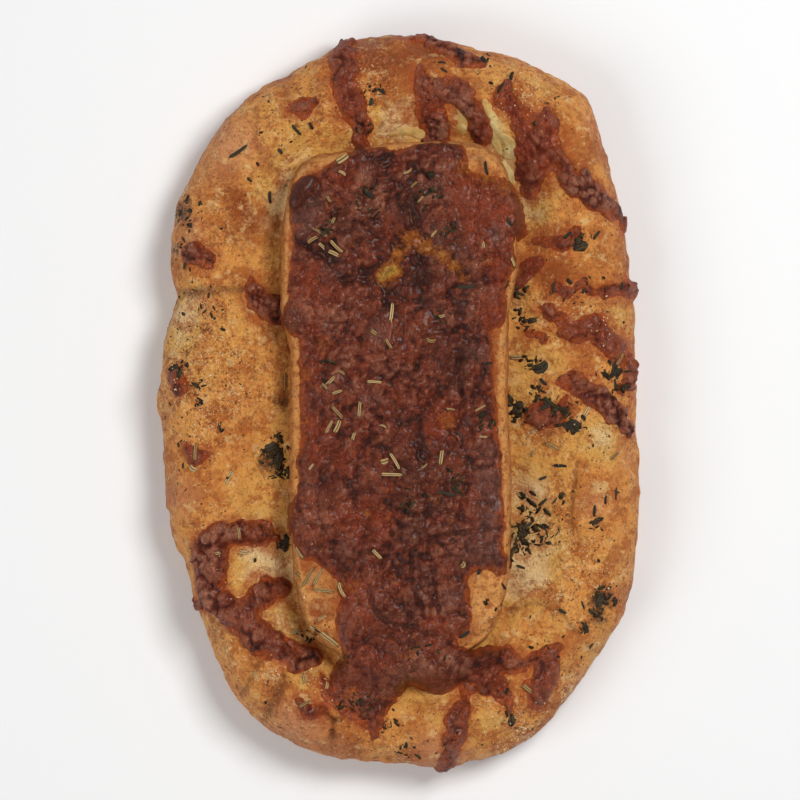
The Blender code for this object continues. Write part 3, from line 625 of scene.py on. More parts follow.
def make_slab():
    """The slab from the middle of its base up a slightly bellied side and over the rounded edge to the
    top."""
    angles = np.linspace(0.0, 2 * math.pi, SLAB_DIRECTIONS, endpoint=False)
    plan = np.stack((np.cos(angles), np.sin(angles)))
    reach = slab_reach(angles)
    foot = SEAT_FLOOR + REST_GAP
    edge = SLAB_TOP - SLAB_EDGE_ROUND
    rings = [np.stack((*(share * reach * plan), 0 * reach + foot), -1) for share in (0.4, 0.8)]
    turn = np.linspace(0, math.pi / 2, 4)
    climb = np.linspace(0, 1, 16)[1:]
    low = foot + SLAB_FOOT_ROUND
    sides = [(SLAB_FOOT_ROUND * (1 - math.sin(t)), foot + SLAB_FOOT_ROUND * (1 - math.cos(t))) for t in turn]
    sides += [(-SLAB_BELLY * math.sin(math.pi * s), low + (edge - low) * s) for s in climb]
    for inset, height in sides:
        ring = reach - inset
        flat = np.stack((*(ring * plan), 0 * ring + height), -1)
        ring = ring + rind_detail(flat) * smooth_step((height - foot) / 0.004)
        rings.append(np.stack((*(ring * plan), 0 * ring + height), -1))
    rounding = SLAB_EDGE_ROUND * (1 - np.cos(np.linspace(0, math.pi / 2, 9)[1:]))
    insets = np.concatenate((rounding, np.linspace(0.0034, TOP_BORDER, 18)))
    shares = np.linspace(1.0, 0.0, 26)[1:-1]
    for ring in [reach - inset for inset in insets] + [(reach - TOP_BORDER) * share for share in shares]:
        x, y = ring * plan
        rings.append(np.stack((x, y, slab_height(x, y)), -1))
    poles = np.array(((0.0, 0.0, foot), (0.0, 0.0, slab_height(np.zeros(1), np.zeros(1))[0])))
    points = np.concatenate((np.array(rings).reshape(-1, 3), poles))
    x, y, z = points.T
    inside = slab_reach(np.arctan2(y, x)) - np.hypot(x, y)
    corner = smooth_step(spots(x, y, CORNER_SPOTS))
    bright = spots(x, y, BRIGHT_SPOTS)
    lumps = spots(x, y, RIND_LUMPS)
    paints = {
        # The lip value: the rind's paler top edge with painted highlight, also laid on the corners, their
        # lumps and bright spot.
        "lip": smooth_step((z - 0.026) / 0.004) * smooth_step((0.0042 - inside) / 0.002)
        + corner * (0.5 + 0.8 * lumps) + 0.9 * bright,
        "toasted": 0.9 * smooth_step((inside - 0.0016) / 0.002) * (1 - 0.75 * corner)
        + corner * (0.1 + 1.3 * soft_noise(points, 0.0036, 24) - 0.4 * lumps)
        + 0.35 * smooth_step((0.0285 - z) / 0.004) - 1.2 * bright,
    }
    faces = ringed_faces(len(rings), SLAB_DIRECTIONS)
    return mesh_piece("slab_of_brie", points, faces, paints, rind_material())


slab = make_slab()
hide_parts("brie_slab")

# The browned cheese on the slab. It melted, blistered and dried under the grill to a dull red-brown lumpy
# sheet, orange and thin at its edge and yellow where it stayed molten. It ran over the slab's lower end.
CAP_THICKNESS = 0.0019
CAP_RUN_LENGTH = 0.0060
CAP_CELL = 0.0005
CAP_SPAN_X = (-0.0395, 0.0425)
CAP_SPAN_Y = (-0.1045, 0.0835)
# How deep melted cheese is sunk in what it lies on, how wide its rounded edge is, and its least height
# inside.
CHEESE_SINK = 0.0004
EDGE_WIDTH = 0.0027
LEAST_LIFT = 0.0003
# The thin skirt of fat that runs out beyond the edge.
SKIRT_WIDTH = 0.0007
SKIRT_THICKNESS = 0.00022
# Outline of the sheet on the plan, in millimetres, anticlockwise from the right.
CAP_OUTLINE = (
    (29.7, 0.7), (28.9, 9), (28.7, 20.5), (30.7, 22.6), (32.6, 25.4), (32.9, 35.3), (33.2, 37.2),
    (35.6, 43.1), (34.6, 48.5), (39.4, 50.9), (38.6, 55.5), (37.5, 61.4), (34.6, 67.0), (30.7, 68.4),
    (25.7, 69.4), (21.6, 71.3), (19.8, 76.8), (14.9, 80.4), (8.4, 80.0), (0, 77.6), (-5.9, 78.1),
    (-11.8, 78.1), (-15.8, 76.3), (-20.2, 73.6), (-25.6, 70.2), (-31.5, 68.3), (-34.0, 64.5), (-34.2, 58),
    (-33.4, 50), (-33.6, 41), (-34.2, 31), (-36.6, 27.5), (-37.0, 24), (-34.6, 20.6), (-31.2, 18.5),
    (-30.9, 9), (-31.0, 0), (-30.8, -9), (-31.3, -20), (-32.0, -28), (-34.4, -34), (-34.4, -40),
    (-33.0, -44.5), (-30.0, -49.3), (-24.8, -51.2), (-19.8, -55.6), (-18.9, -62), (-19.8, -66),
    (-20.0, -70.5), (-17.9, -76.9), (-18.9, -80.8), (-21.7, -85.3), (-21.1, -91.3), (-16.7, -93.6),
    (-12.2, -99.1), (-8.4, -101.9), (-3.9, -96.3), (-0.6, -91.3), (3.3, -88.6), (8.3, -90.5),
    (13.8, -90.8), (18.3, -88.4), (23.8, -88.6), (26.6, -91.3), (29.9, -89), (33.0, -84), (34.4, -80),
    (32.6, -77.2), (28.8, -76), (23.8, -77.2), (18.8, -75.8), (17.9, -73.0), (21.6, -69.2), (21.4, -62),
    (21.4, -55.6), (24.4, -52.8), (27.0, -52.4), (30.3, -54.6), (34.2, -52.4), (34.4, -49.4), (32.0, -46),
    (31.9, -40), (31.6, -31), (31.0, -18), (30.3, -9),
)
# Swells of the sheet where more cheese lay, and hollows: x, y, radius, height, in millimetres.
CAP_SWELLS = (
    (-31, 64, 4, -0.6), (-27, 30, 8, 0.9), (-33, 25, 5, 0.8), (24, 60, 10, 1.0), (35, 57, 6, 0.8),
    (28, 30, 7, 0.8), (-22, -36, 9, 0.9), (-26, -42, 6, 0.6), (-12, -66, 9, 1.0), (6, -84, 12, 1.2),
    (14, -62, 8, 0.7), (-15, -88, 6, 1.0), (27, -8, 6, 0.5), (14, 40, 8, 0.8), (-10, 10, 14, 0.5),
    (5, -30, 12, 0.5), (13, 70, 8, 0.6), (-14, 64, 10, 0.6), (4, 43, 7, -0.9), (5, 36, 5, -0.8),
    (30, -3, 4, -0.3), (-26, 8, 6, -0.3), (26, -70, 5, -0.6), (8, -13, 7, -0.5),
)
# Ridges of the sheet, and gullies where height is below 0: width, height, and the line, in millimetres.
CAP_RIDGES = (
    (1.1, -0.8, ((-34.6, 61.4), (-31.8, 66.8), (-28.0, 70.0), (-25.2, 67.0), (-27.4, 62.0), (-30.6, 57.4))),
    (1.6, -1.2, ((3.2, 72), (3.6, 66), (4.0, 60), (4.4, 54))),
    (1.2, -1.0, ((-33, 49.6), (-26, 46.4), (-20, 43.4), (-10.5, 40.0), (-6.2, 41))),
    (1.6, -1.2, ((-5.6, 37), (-1.0, 40), (-0.9, 46), (0, 50.5), (5, 51.8), (10.2, 46.8), (15, 44.4),
                 (19.0, 39.6))),
    (1.0, -0.9, ((-24, 36), (-14, 37), (-4, 34), (2, 31), (10, 31), (16, 33))),
    (1.0, -0.8, ((-31, 20), (-22, 17), (-12, 19), (-8, 26), (-2, 30))),
    (0.9, -0.7, ((14, 34), (19, 27), (20, 19), (18, 10), (19, 2))),
    (0.9, -0.7, ((-12, 19), (-8, 12), (-10, 4), (-6, -4), (-8, -12))),
    (0.9, -0.7, ((-28, 0), (-22, -6), (-18, -14), (-24, -22), (-22, -30))),
    (0.9, -0.7, ((2, 22), (6, 14), (4, 6), (8, -2), (6, -10), (9, -18))),
    (0.9, -0.8, ((-16, -30), (-8, -28), (-2, -33), (6, -36), (14, -34), (22, -38))),
    (0.8, -0.8, ((-28, -46), (-20, -44), (-12, -47), (-4, -45))),
    (0.7, -1.1, ((9.3, -49.3), (8.6, -46.4), (9.6, -42.8), (13.1, -41.6), (17.3, -41), (22.7, -40.8))),
    (0.6, -1.1, ((3.5, -46.5), (3.6, -52.5), (4.0, -57.8), (6.7, -63.2), (7.4, -67))),
    (0.6, -1.0, ((9.6, -51), (10.4, -55), (11, -59), (12.2, -65))),
    (0.7, -1.0, ((-9.4, -58), (-8.6, -62), (-5.6, -67), (-1.9, -69.2), (3.5, -70))),
    (0.7, -1.0, ((-30.6, -23), (-31.4, -31), (-29.2, -37.4), (-22.7, -39.2), (-15.4, -36), (-14, -30),
                 (-17, -24))),
    (0.7, 0.8, ((-2.9, -9.3), (-6.1, -12.5), (-10.4, -14.6), (-12, -17.3), (-11.5, -21.5))),
    (1.0, -0.8, ((-14, -76), (-6, -72), (2, -75), (10, -72), (17, -76))),
    (0.9, -0.7, ((12, -8), (18, -12), (22, -20), (20, -28))),
)
# Molten yellow, reddish, dark and greyish spots, the greyish ones with painted sheen: x, y, radius,
# strength, in millimetres.
MOLTEN_SPOTS = (
    (-2.5, 40, 2.6, 1.9), (-5.6, 38, 2.0, 1.5), (-0.6, 45, 2.0, 1.1), (3, 50, 3.0, 0.9),
    (8, 47.4, 2.6, 1.1), (13, 44.6, 2.4, 1.1), (17, 41.5, 2.2, 1.1), (19.4, 37.5, 1.6, 0.8),
    (36, 40, 2.4, 0.9), (27, 43, 2.6, 0.5), (-24, 17, 2.8, 0.5), (-28.6, 8, 2.4, 0.6), (-29, -6, 2.2, 0.5),
    (14.5, -6.5, 3.0, 0.7), (-16, -57, 3.0, 0.5), (-18, -80, 2.6, 0.8), (-15, -91, 2.4, 0.8),
    (2, -89, 3.4, 0.7), (-3, -37, 2.0, 0.4), (20, 72, 3.0, 0.8), (27, 69, 3.2, 0.9), (33, 66, 2.6, 0.8),
    (-22, 60, 1.8, 0.5), (29, -55, 3.0, 0.6), (4, -79, 2.2, 0.5), (11, -31, 1.6, 0.4),
    (-10, -35, 1.0, 1.2),
)
RED_SPOTS = (
    (25, 60, 9, 1.1), (29, 43, 6, 1.1), (-22, 35, 7, 0.9), (-24, 17, 6, 1.1), (-28.5, 8, 4, 1.1),
    (-29, -6, 4, 1.0), (-8, -37, 7, 0.9), (-22, -14, 6, 0.9), (-15, -60, 8, 1.0), (29, -51, 4, 0.9),
    (10, -73, 7, 0.7), (29, 27, 5, 0.9), (-17, 70, 6, 0.6), (-22, 61, 4, 0.7), (14, 28, 6, 0.5),
    (14, -6, 6, 0.8), (22, -38, 7, 0.5), (-12, 8, 6, 0.4), (33, 36, 5, 0.8), (34, 56, 6, 0.6),
    (28, -84, 8, 0.7), (-5, -80, 6, 0.5), (2, 74, 7, 0.5), (-18, -8, 5, 0.5), (3, 14, 5, 0.5),
    (22, -60, 4, 0.5), (40, 80, 12, 1.0), (36, 94, 5, 0.6), (-16, 98, 10, 0.4),
)
DARK_SPOTS = (
    (-14, 54, 9, 1.1), (4, 60, 5, 1.1), (18, 49, 4.5, 0.9), (7, 37, 5, 1.1), (21, 36, 3, 0.9),
    (4, -20, 7, 0.9), (5, -32, 7, 0.9), (3, -43, 6, 0.9), (13, -27, 6, 0.9), (6, -59, 7, 0.9),
    (-21, -26, 6, 1.0), (-30, 40, 5, 0.6), (-33, 25, 4, 0.9), (18, 9, 5.5, 0.8), (-23, -47, 5, 0.7),
    (4, -84, 6, 0.5), (-11, -94, 4, 0.8), (-31, 63, 4.5, 0.9), (-20, 28, 3, 0.4), (10, 22, 4, 0.4),
    (-2, 0, 4, 0.4), (22, -57, 2.6, 1.2), (-4, -68, 5, 0.4), (40, 80, 12, -0.9),
)
GREY_AND_SHEEN_SPOTS = (
    (-30, 54, 4.5, 1.5), (-26, 61, 4, 1.1), (28, 12, 4.5, 1.5), (22, 14, 4, 0.8), (28.5, -14, 4, 1.2),
    (28.5, -26, 4.5, 1.3), (27, -36, 4, 0.9), (20, -43, 7, 0.9), (27, -46, 4, 1.1), (-28, -27, 4.5, 1.1),
    (-18, -45.5, 3, 0.9), (-8, 21, 3.4, 1.2), (12.4, 51, 2.6, 0.9), (-3, 27, 2.4, 0.6), (-24, 32, 4, 0.5),
    (-12, -48, 6, 0.5), (-14, -72, 5, 0.5), (30, 52, 4, 0.7), (16, -62, 4, 0.5), (8, -80, 6, 0.6),
    (14, 68, 6, 0.3),
)


def outline_depth(x, y, outline):
    """Depth inside a closed outline, negative outside: distance to its nearest side, with the sign from how
    many sides a line to the right crosses."""
    nearest = np.full(x.shape, 1.0)
    crossed = np.zeros(x.shape, int)
    for (ax, ay), (bx, by) in zip(outline, np.roll(outline, -1, axis=0)):
        dx, dy = bx - ax, by - ay
        along = np.clip(((x - ax) * dx + (y - ay) * dy) / (dx * dx + dy * dy + 1e-18), 0.0, 1.0)
        nearest = np.minimum(nearest, np.hypot(x - ax - along * dx, y - ay - along * dy))
        between = (ay > y) != (by > y)
        crossed += between & (x < ax + dx * (y - ay) / (dy if dy else 1e-18))
    return np.where(crossed % 2 == 1, nearest, -nearest)


def edge_profile(depth, width):
    """How much of its full thickness melted cheese has at a depth inside its edge: midway between a quarter
    circle and a soft S over width."""
    share = np.clip(depth / width, 0.0, 1.0)
    return 0.5 * np.sqrt(1 - (1 - share) ** 2) + 0.5 * smooth_step(share)


def melt_relief(points):
    """Height and looks of melted cheese: domes of two sizes as half spheres round scattered middles,
    crossed by thin wrinkles where a noise changes sign, all on a bent grid. Gives the height in metres, a
    share that is 0 in the creases and 1 on the lumps, which the colour uses as painted shade and highlight,
    and how lumpy each tract is."""
    bend = [soft_noise(points, 0.0055, seed) for seed in (31, 32, 33)]
    bent = points + 0.0014 * np.stack(bend, axis=-1)
    first, second = nearest_middles(bent, 0.0062, 34)
    domes = np.sqrt(np.clip(1 - (first / 0.72) ** 2, 0, 1))
    gully = np.exp(-(((second - first) / 0.11) ** 2))
    first, second = nearest_middles(bent, 0.0029, 35)
    beads = np.sqrt(np.clip(1 - (first / 0.70) ** 2, 0, 1))
    crease = np.exp(-(((second - first) / 0.15) ** 2))
    lumpy = smooth_step(0.55 + 1.1 * soft_noise(points, 0.009, 36))
    ridge = 1 - np.abs(soft_noise(bent * (1.0, 0.38, 1.0), 0.0021, 37)) * 2.4
    string = smooth_step(ridge)
    fine = soft_noise(bent, 0.0011, 38)
    height = 0.85 * domes * (0.4 + 0.6 * lumpy) - 0.34 * gully + (0.9 * beads - 0.2 * crease) * lumpy
    height += 0.62 * string * (1 - 0.5 * lumpy) + 0.26 * fine
    share = 0.34 * domes - 0.26 * gully + (0.44 * beads - 0.22 * crease) * lumpy
    share += (0.18 + 0.34 * string) * (1 - lumpy) + 0.2 * fine + 0.06
    return height / 1000, share, lumpy


def cheese_on(points, depth, thickness, ragged, swell=0.0, lumps=1.0):
    """Height of melted cheese over what it lies on, from its depth inside its outline. The outline frays by
    noise; a quarter circle leads up to the lumps, and a thin skirt of fat runs out beyond them. Gives the
    height, the looks that go with it, the skirt's depth and how full the sheet is."""
    body = depth + ragged * 0.0016 * soft_noise(points, 0.0065, 51)
    body += ragged * 0.0013 * soft_noise(points, 0.0029, 52) + 0.00045 * soft_noise(points, 0.0012, 53)
    skirt = depth + ragged * (0.0003 + 0.0014 * soft_noise(points, 0.0042, 54))
    skirt = np.maximum(body, skirt + 0.0005 * soft_noise(points, 0.0013, 55))
    relief, share, lumpy = melt_relief(points)
    full = edge_profile(body, EDGE_WIDTH)
    film = edge_profile(skirt, SKIRT_WIDTH)
    lift = full * np.maximum(thickness * 0.45 + lumps * relief + swell, LEAST_LIFT)
    lift += film * SKIRT_THICKNESS - CHEESE_SINK * (1 - film)
    thin = 1.15 - 1.15 * smooth_step(body / 0.0022) + 0.45 * soft_noise(points, 0.0038, 56)
    return lift, {"high": share, "lumpy": lumpy, "thin": thin}, skirt, full


def closed_sheet(name, top, low, skirt, paints, material):
    """A closed sheet: the cells of the top grid that touch the skirt, the same cells of the low grid turned
    over, and a wall along every side of a kept cell whose neighbour isn't kept."""
    inside = skirt > -LEAST_LIFT
    keep = inside[:-1, :-1] | inside[1:, :-1] | inside[:-1, 1:] | inside[1:, 1:]
    for _ in range(3):
        fall = keep[:-1, :-1] & keep[1:, 1:] & ~keep[1:, :-1] & ~keep[:-1, 1:]
        rise = ~keep[:-1, :-1] & ~keep[1:, 1:] & keep[1:, :-1] & keep[:-1, 1:]
        keep[1:, :-1] |= fall
        keep[:-1, :-1] |= rise
    rows, columns = top.shape[:2]
    count = rows * columns
    number = np.arange(count).reshape(rows, columns)
    a, b, c, d = number[:-1, :-1], number[1:, :-1], number[1:, 1:], number[:-1, 1:]
    over = np.stack((a, b, c, d), -1)[keep]
    faces = [over, over[:, ::-1] + count]
    around = np.pad(keep, 1)
    for (down, across), p, q in (((0, -1), a, b), ((1, 0), b, c), ((0, 1), c, d), ((-1, 0), d, a)):
        beside = around[1 + down : rows + down, 1 + across : columns + across]
        bare = keep & ~beside
        p, q = p[bare], q[bare]
        faces.append(np.stack((q, p, p + count, q + count), -1))
    used, faces = np.unique(np.concatenate(faces), return_inverse=True)
    points = np.concatenate((top.reshape(-1, 3), low.reshape(-1, 3)))[used]
    paints = {label: values.ravel()[used % count] for label, values in paints.items()}
    return mesh_piece(name, points, faces.reshape(-1, 4).tolist(), paints, material)


def cheese_material():
    """Melted cheese: dull red-brown on its body, nearly black-brown in its creases and fine grooves by
    painted shade, paler on its lumps, thread lines and glints by painted highlight, orange-red where it is
    thin, greyish with a painted sheen in spots and yellow where it stayed molten."""
    material, tree, shader = start_material("browned_cheese", 0.3)
    baked = baked_grain(tree, 260.0, 700.0, 900.0)
    swing = spread(tree, baked["Fine"], 0.0, 1.0, -0.22, 0.22)
    # Painted shade and highlight: the relief's share darkens creases towards black-brown and lightens lump
    # tops.
    high = summed(tree, painted(tree, "high"), swing)
    colour = mixed(tree, spread(tree, high, -0.1, 0.5), tint(60, 22, 14), tint(132, 54, 30))
    top = mixed(tree, painted(tree, "lumpy"), tint(166, 76, 42), tint(194, 124, 92))
    colour = mixed(tree, spread(tree, high, 0.5, 1.1, 0.0, 0.9), colour, top)
    # The grey layer: greyish tone with a painted sheen.
    colour = coated(tree, colour, swing, (
        ("red", 0.2, 1.3, 0.75, tint(164, 62, 26)),
        ("grey_and_sheen", 0.2, 1.2, 0.6, tint(136, 86, 72)),
        ("dark", 0.1, 1.2, 0.6, tint(78, 34, 20)),
        ("thin", 0.3, 1.2, 0.9, tint(192, 86, 30)),
    ))
    colour = coated(tree, colour, summed(tree, swing, 2.0, "MULTIPLY"), (
        ("molten", 0.2, 0.9, 0.85, tint(196, 106, 28)),
        ("molten", 0.9, 1.6, 0.9, tint(208, 156, 62)),
    ))
    # Painted shade in fine dark grooves, and painted highlight along pale threads and in small glints.
    lines = []
    for scale in (420.0, 640.0):
        wave = summed(tree, grain(tree, scale, 4.0, 0.65, (1.0, 0.6, 1.0)), 0.5, "SUBTRACT")
        wave = add_node(tree, "ShaderNodeMath", ((0, wave),), operation="ABSOLUTE").outputs[0]
        lines.append(spread(tree, wave, 0.0, 0.022, 1.0, 0.0))
    colour = mixed(tree, summed(tree, lines[0], 0.45, "MULTIPLY"), colour, tint(48, 20, 17))
    thread_highlight = summed(tree, lines[1], spread(tree, high, 0.2, 1.0, 0.1, 0.6), "MULTIPLY")
    colour = mixed(tree, thread_highlight, colour, tint(196, 134, 106))
    painted_glint = spread(tree, grain(tree, 1900.0, 1.0), 0.70, 0.74)
    painted_glint = summed(tree, painted_glint, spread(tree, high, 0.2, 0.9), "MULTIPLY")
    colour = mixed(tree, painted_glint, colour, tint(226, 178, 154))
    tree.links.new(colour, shader.inputs["Base Color"])
    tree.links.new(spread(tree, baked["Fine"], 0.0, 1.0, 0.34, 0.6), shader.inputs["Roughness"])
    shader.inputs["Coat Weight"].default_value = 0.14
    shader.inputs["Coat Roughness"].default_value = 0.2
    raised = summed(tree, summed(tree, lines[1], lines[0], "SUBTRACT"), 0.2, "MULTIPLY")
    join_bump(tree, shader, summed(tree, baked["Height"], raised), 1.0, 0.0016)
    return material


CHEESE = cheese_material()


def cheese_paints(points, looks, extra):
    """What colours the cheese: its lumps and thin edges, and its red, greyish, dark and molten spots, the
    greyish ones with painted sheen.
    """
    x, y = points[..., 0], points[..., 1]
    tone = soft_noise(points, 0.010, 41)
    patch = soft_noise(points, 0.0045, 42)
    return {
        **looks,
        "red": spots(x, y, RED_SPOTS) + 0.5 * tone + 0.4 * patch + extra,
        "grey_and_sheen": spots(x, y, GREY_AND_SHEEN_SPOTS) - 0.5 * tone + 0.4 * soft_noise(points, 0.005, 43),
        "dark": spots(x, y, DARK_SPOTS) - 0.6 * patch + 0.3 * soft_noise(points, 0.008, 44) - extra,
        "molten": spots(x, y, MOLTEN_SPOTS),
    }


def make_cap():
    """The sheet on a grid of the plan. It lies on the slab and, past the slab's edge, slopes to the crust
    over the run length; its thickness follows the edge profile, and the relief is added to it."""
    x, y = np.meshgrid(np.arange(*CAP_SPAN_X, CAP_CELL), np.arange(*CAP_SPAN_Y, CAP_CELL), indexing="ij")
    outline = smooth_line(np.array(CAP_OUTLINE + CAP_OUTLINE[:1]) / 1000, 5)[:-1]
    depth = outline_depth(x, y, outline)
    flat = np.stack((x, y, 0 * x + SLAB_TOP), axis=-1)
    beyond = np.hypot(x, y) - slab_reach(np.arctan2(y, x))
    crust = crust_surface(*station_below(x, y))[..., 2]
    lies_on = np.where(beyond < 0, slab_height(x, y), crust)
    rounded = np.where(beyond > -SLAB_EDGE_ROUND, SLAB_TOP + SLAB_CROWN * 0.6, 0)
    lip = np.maximum(slab_top_height(x, y), rounded)
    run = CAP_RUN_LENGTH * (1 + 0.9 * smooth_step((-0.072 - y) / 0.008))
    bridge = lip + (crust - lip) * smooth_step(beyond / run)
    lines = ridges(x, y, CAP_RIDGES)
    swell = (spots(x, y, CAP_SWELLS) + lines) / 1000
    lift, looks, skirt, full = cheese_on(flat, depth, CAP_THICKNESS, 0.5, swell)
    top = lies_on + (bridge - lies_on) * full + lift
    low = lies_on - 2 * CHEESE_SINK
    # Painted highlight on the swells and ridges, and painted shade in the hollows and gullies.
    looks["high"] = looks["high"] + 0.4 * swell * 1000
    paints = cheese_paints(flat, looks, 0.0)
    paints["dark"] = paints["dark"] - 0.7 * np.minimum(lines, 0)
    top, low = np.stack((x, y, top), -1), np.stack((x, y, low), -1)
    return closed_sheet("cheese_on_slab", top, low, skirt, paints, CHEESE)


cap = make_cap()
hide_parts("cheese_cap")

# The dark blister. A bubble of cheese at the sheet's upper left corner that swelled, browned nearly black
# and dried hard. It is half sunk in the sheet.
BLISTER_MIDDLE = (-0.0300, 0.0640)
BLISTER_DIRECTION = math.radians(57)
BLISTER_HALF_LENGTH = 0.0064
BLISTER_HALF_WIDTH = 0.0030
BLISTER_HALF_HEIGHT = 0.0022
BLISTER_LIFT = 0.0022
BLISTER_BEND = 0.0009
BLISTER_SHIFT = 0.0005


def make_blister():
    """The smooth dark blister at the sheet's upper left corner: an ellipsoid bent along its length, half
    sunk."""
    turn = np.arange(28) / 28 * 2 * math.pi
    climb = np.linspace(-math.pi / 2, math.pi / 2, 21)[1:-1]
    half = np.cos(climb)[:, None] * np.ones_like(turn)
    along = BLISTER_HALF_LENGTH * np.sin(climb)[:, None] * np.ones_like(turn)
    across = BLISTER_HALF_WIDTH * half * np.cos(turn) + BLISTER_BEND * half - BLISTER_SHIFT
    rise = BLISTER_HALF_HEIGHT * half * np.sin(turn)
    body = np.stack((along, across, rise), -1).reshape(-1, 3)
    ends = [(tip * BLISTER_HALF_LENGTH, -BLISTER_SHIFT, 0.0) for tip in (-1, 1)]
    body = np.concatenate((body, ends))
    cosine, sine = math.cos(BLISTER_DIRECTION), math.sin(BLISTER_DIRECTION)
    x = BLISTER_MIDDLE[0] + body[:, 0] * cosine - body[:, 1] * sine
    y = BLISTER_MIDDLE[1] + body[:, 0] * sine + body[:, 1] * cosine
    points = np.stack((x, y, SLAB_TOP + BLISTER_LIFT + body[:, 2]), -1)
    points[:, 2] += 0.00025 * soft_noise(points, 0.0024, 45)
    flat = np.zeros(len(points))
    paints = {"high": flat + 0.2, "lumpy": flat, "thin": 0.8 - 500 * body[:, 2], "red": flat + 0.3,
              "grey_and_sheen": flat + 0.4, "dark": flat + 1.6, "molten": flat}
    return mesh_piece("dark_blister", points, ringed_faces(len(climb), len(turn)), paints, CHEESE)


make_blister()

# The runs, drops and spots of cheese on the crust. The same cheese, which ran or fell there and baked on:
# each is a lumpy strip, thin and reddish at its edge, and its fat stained the crust beside it.
STRIP_THICKNESS = 0.0023
STRIP_CELL = 0.0004
# How far the grid of a strip reaches past its middle lines, and how far past its edge it may still have a
# skirt.
STRIP_MARGIN = 0.0065
STRIP_FRAY = 0.004
# The middle line of each strip: x, y and half width at points along it, in millimetres.
STRIPS = {
    "cheese_streak_top_left": (
        ((-17.5, 111.5, 1.2), (-17.4, 107.4, 3.9), (-18.3, 103.0, 4.6), (-17.7, 98, 4.3), (-15.5, 92, 4.0),
         (-13.2, 87, 3.1), (-11.6, 82.6, 2.2)),
    ),
    "cheese_drop_top_left": (
        ((-33.6, 89.0, 1.6), (-30.2, 90.0, 2.9), (-27.6, 91.4, 2.0), (-25.4, 92.0, 0.8)),
    ),
    "cheese_streak_top": (
        ((13.0, 78.5, 2.4), (11.8, 82, 3.6), (10.6, 87, 4.6), (8.4, 92.5, 4.0), (7.0, 97.5, 3.4),
         (6.4, 101.2, 2.0)),
        ((9.0, 96, 2.4), (13.5, 96.0, 3.4), (18.6, 94.8, 3.6), (21.6, 91.0, 3.0), (24.0, 86, 2.9),
         (25.2, 81.6, 3.0), (24.2, 78.4, 1.8)),
    ),
    "cheese_streak_top_edge": (
        ((4.6, 111.4, 1.6), (8.6, 111.8, 2.7), (12.4, 109.4, 2.8), (15.6, 107.6, 2.4), (19.6, 106.0, 2.4),
         (24.6, 104.2, 1.5)),
    ),
    "cheese_streak_top_right": (
        ((33.4, 97, 1.8), (33.2, 92.6, 3.4), (36.4, 89.0, 3.6), (39.2, 83.2, 4.4), (41.4, 78.0, 5.6),
         (40.8, 71.8, 5.2), (40.2, 67.2, 3.2), (40.6, 63.6, 1.0)),
        ((44.8, 89.6, 1.0), (45.0, 84.6, 3.0), (45.4, 78.6, 3.4), (49.8, 73.2, 2.4), (53.4, 68.4, 2.5),
         (57.4, 64.6, 3.6), (62.2, 61.2, 3.6), (66.6, 58.0, 3.4), (68.6, 54.6, 2.8)),
        ((56.4, 69.6, 1.6), (56.6, 66.0, 2.2)),
    ),
    "cheese_spot_left": (
        ((-46.0, 36.6, 1.4), (-45.2, 33.0, 3.0), (-43.4, 29.4, 3.6), (-40.6, 28.6, 3.6), (-37.8, 27.0, 3.0)),
    ),
    "cheese_drop_left_upper": (
        ((-64.8, 44.4, 2.2), (-62.0, 44.4, 3.0), (-59.2, 44.0, 2.2)),
    ),
    "cheese_drop_left_lower": (
        ((-69.4, 9.4, 1.2), (-68.6, 6.4, 2.8), (-67.4, 4.4, 2.6)),
    ),
    "cheese_finger_right": (
        ((59.2, 33.2, 1.0), (64.5, 34.1, 1.4), (69.4, 34.5, 2.0), (73.0, 33.4, 2.3), (74.6, 32.4, 1.6)),
    ),
    "cheese_streak_right_upper": (
        ((45.0, 28.6, 1.0), (48.8, 25.4, 2.2), (54.0, 21.7, 3.2), (59.2, 22.4, 4.4), (63.2, 19.6, 4.0),
         (68.0, 15.6, 3.4), (70.6, 11.2, 3.4), (71.0, 6.2, 2.8), (69.0, 3.4, 1.6)),
    ),
    "cheese_streak_right_lower": (
        ((50.4, 6.4, 1.8), (53.6, 5.6, 3.2), (58.6, 2.4, 3.5), (63.4, -0.6, 3.0), (67.2, -4.0, 3.0),
         (69.8, -8.2, 2.2), (70.4, -10.6, 1.0)),
    ),
    "cheese_spot_right": (
        ((41.0, -5.0, 1.6), (43.6, -5.0, 3.0), (46.8, -5.6, 2.6), (48.8, -6.4, 1.4)),
    ),
    "cheese_ring_bottom_left": (
        ((-38.4, -42.6, 1.8), (-41.8, -41.8, 3.4), (-46.0, -41.2, 4.0), (-52.0, -41.8, 3.8),
         (-56.2, -44.0, 4.4), (-58.6, -48.4, 5.0), (-59.2, -54.0, 5.2), (-58.6, -60.0, 5.4),
         (-54.0, -64.4, 5.0), (-48.8, -68.4, 4.8), (-43.2, -72.8, 4.8), (-37.4, -77.4, 4.6),
         (-31.4, -79.6, 4.2), (-27.2, -80.2, 2.6)),
        ((-50, -66.4, 3.0), (-45.2, -62.2, 4.0), (-40.4, -59.4, 3.8), (-36.6, -57.8, 2.2)),
        ((-61.0, -62.2, 1.8), (-64.4, -63.8, 1.8), (-66.6, -64.4, 1.0)),
    ),
    "cheese_spot_bottom_right": (
        ((48.6, -77.2, 1.8), (46.0, -80.0, 3.6), (44.6, -84.6, 4.2), (43.4, -89.4, 4.0), (42.2, -92.8, 2.4)),
    ),
}
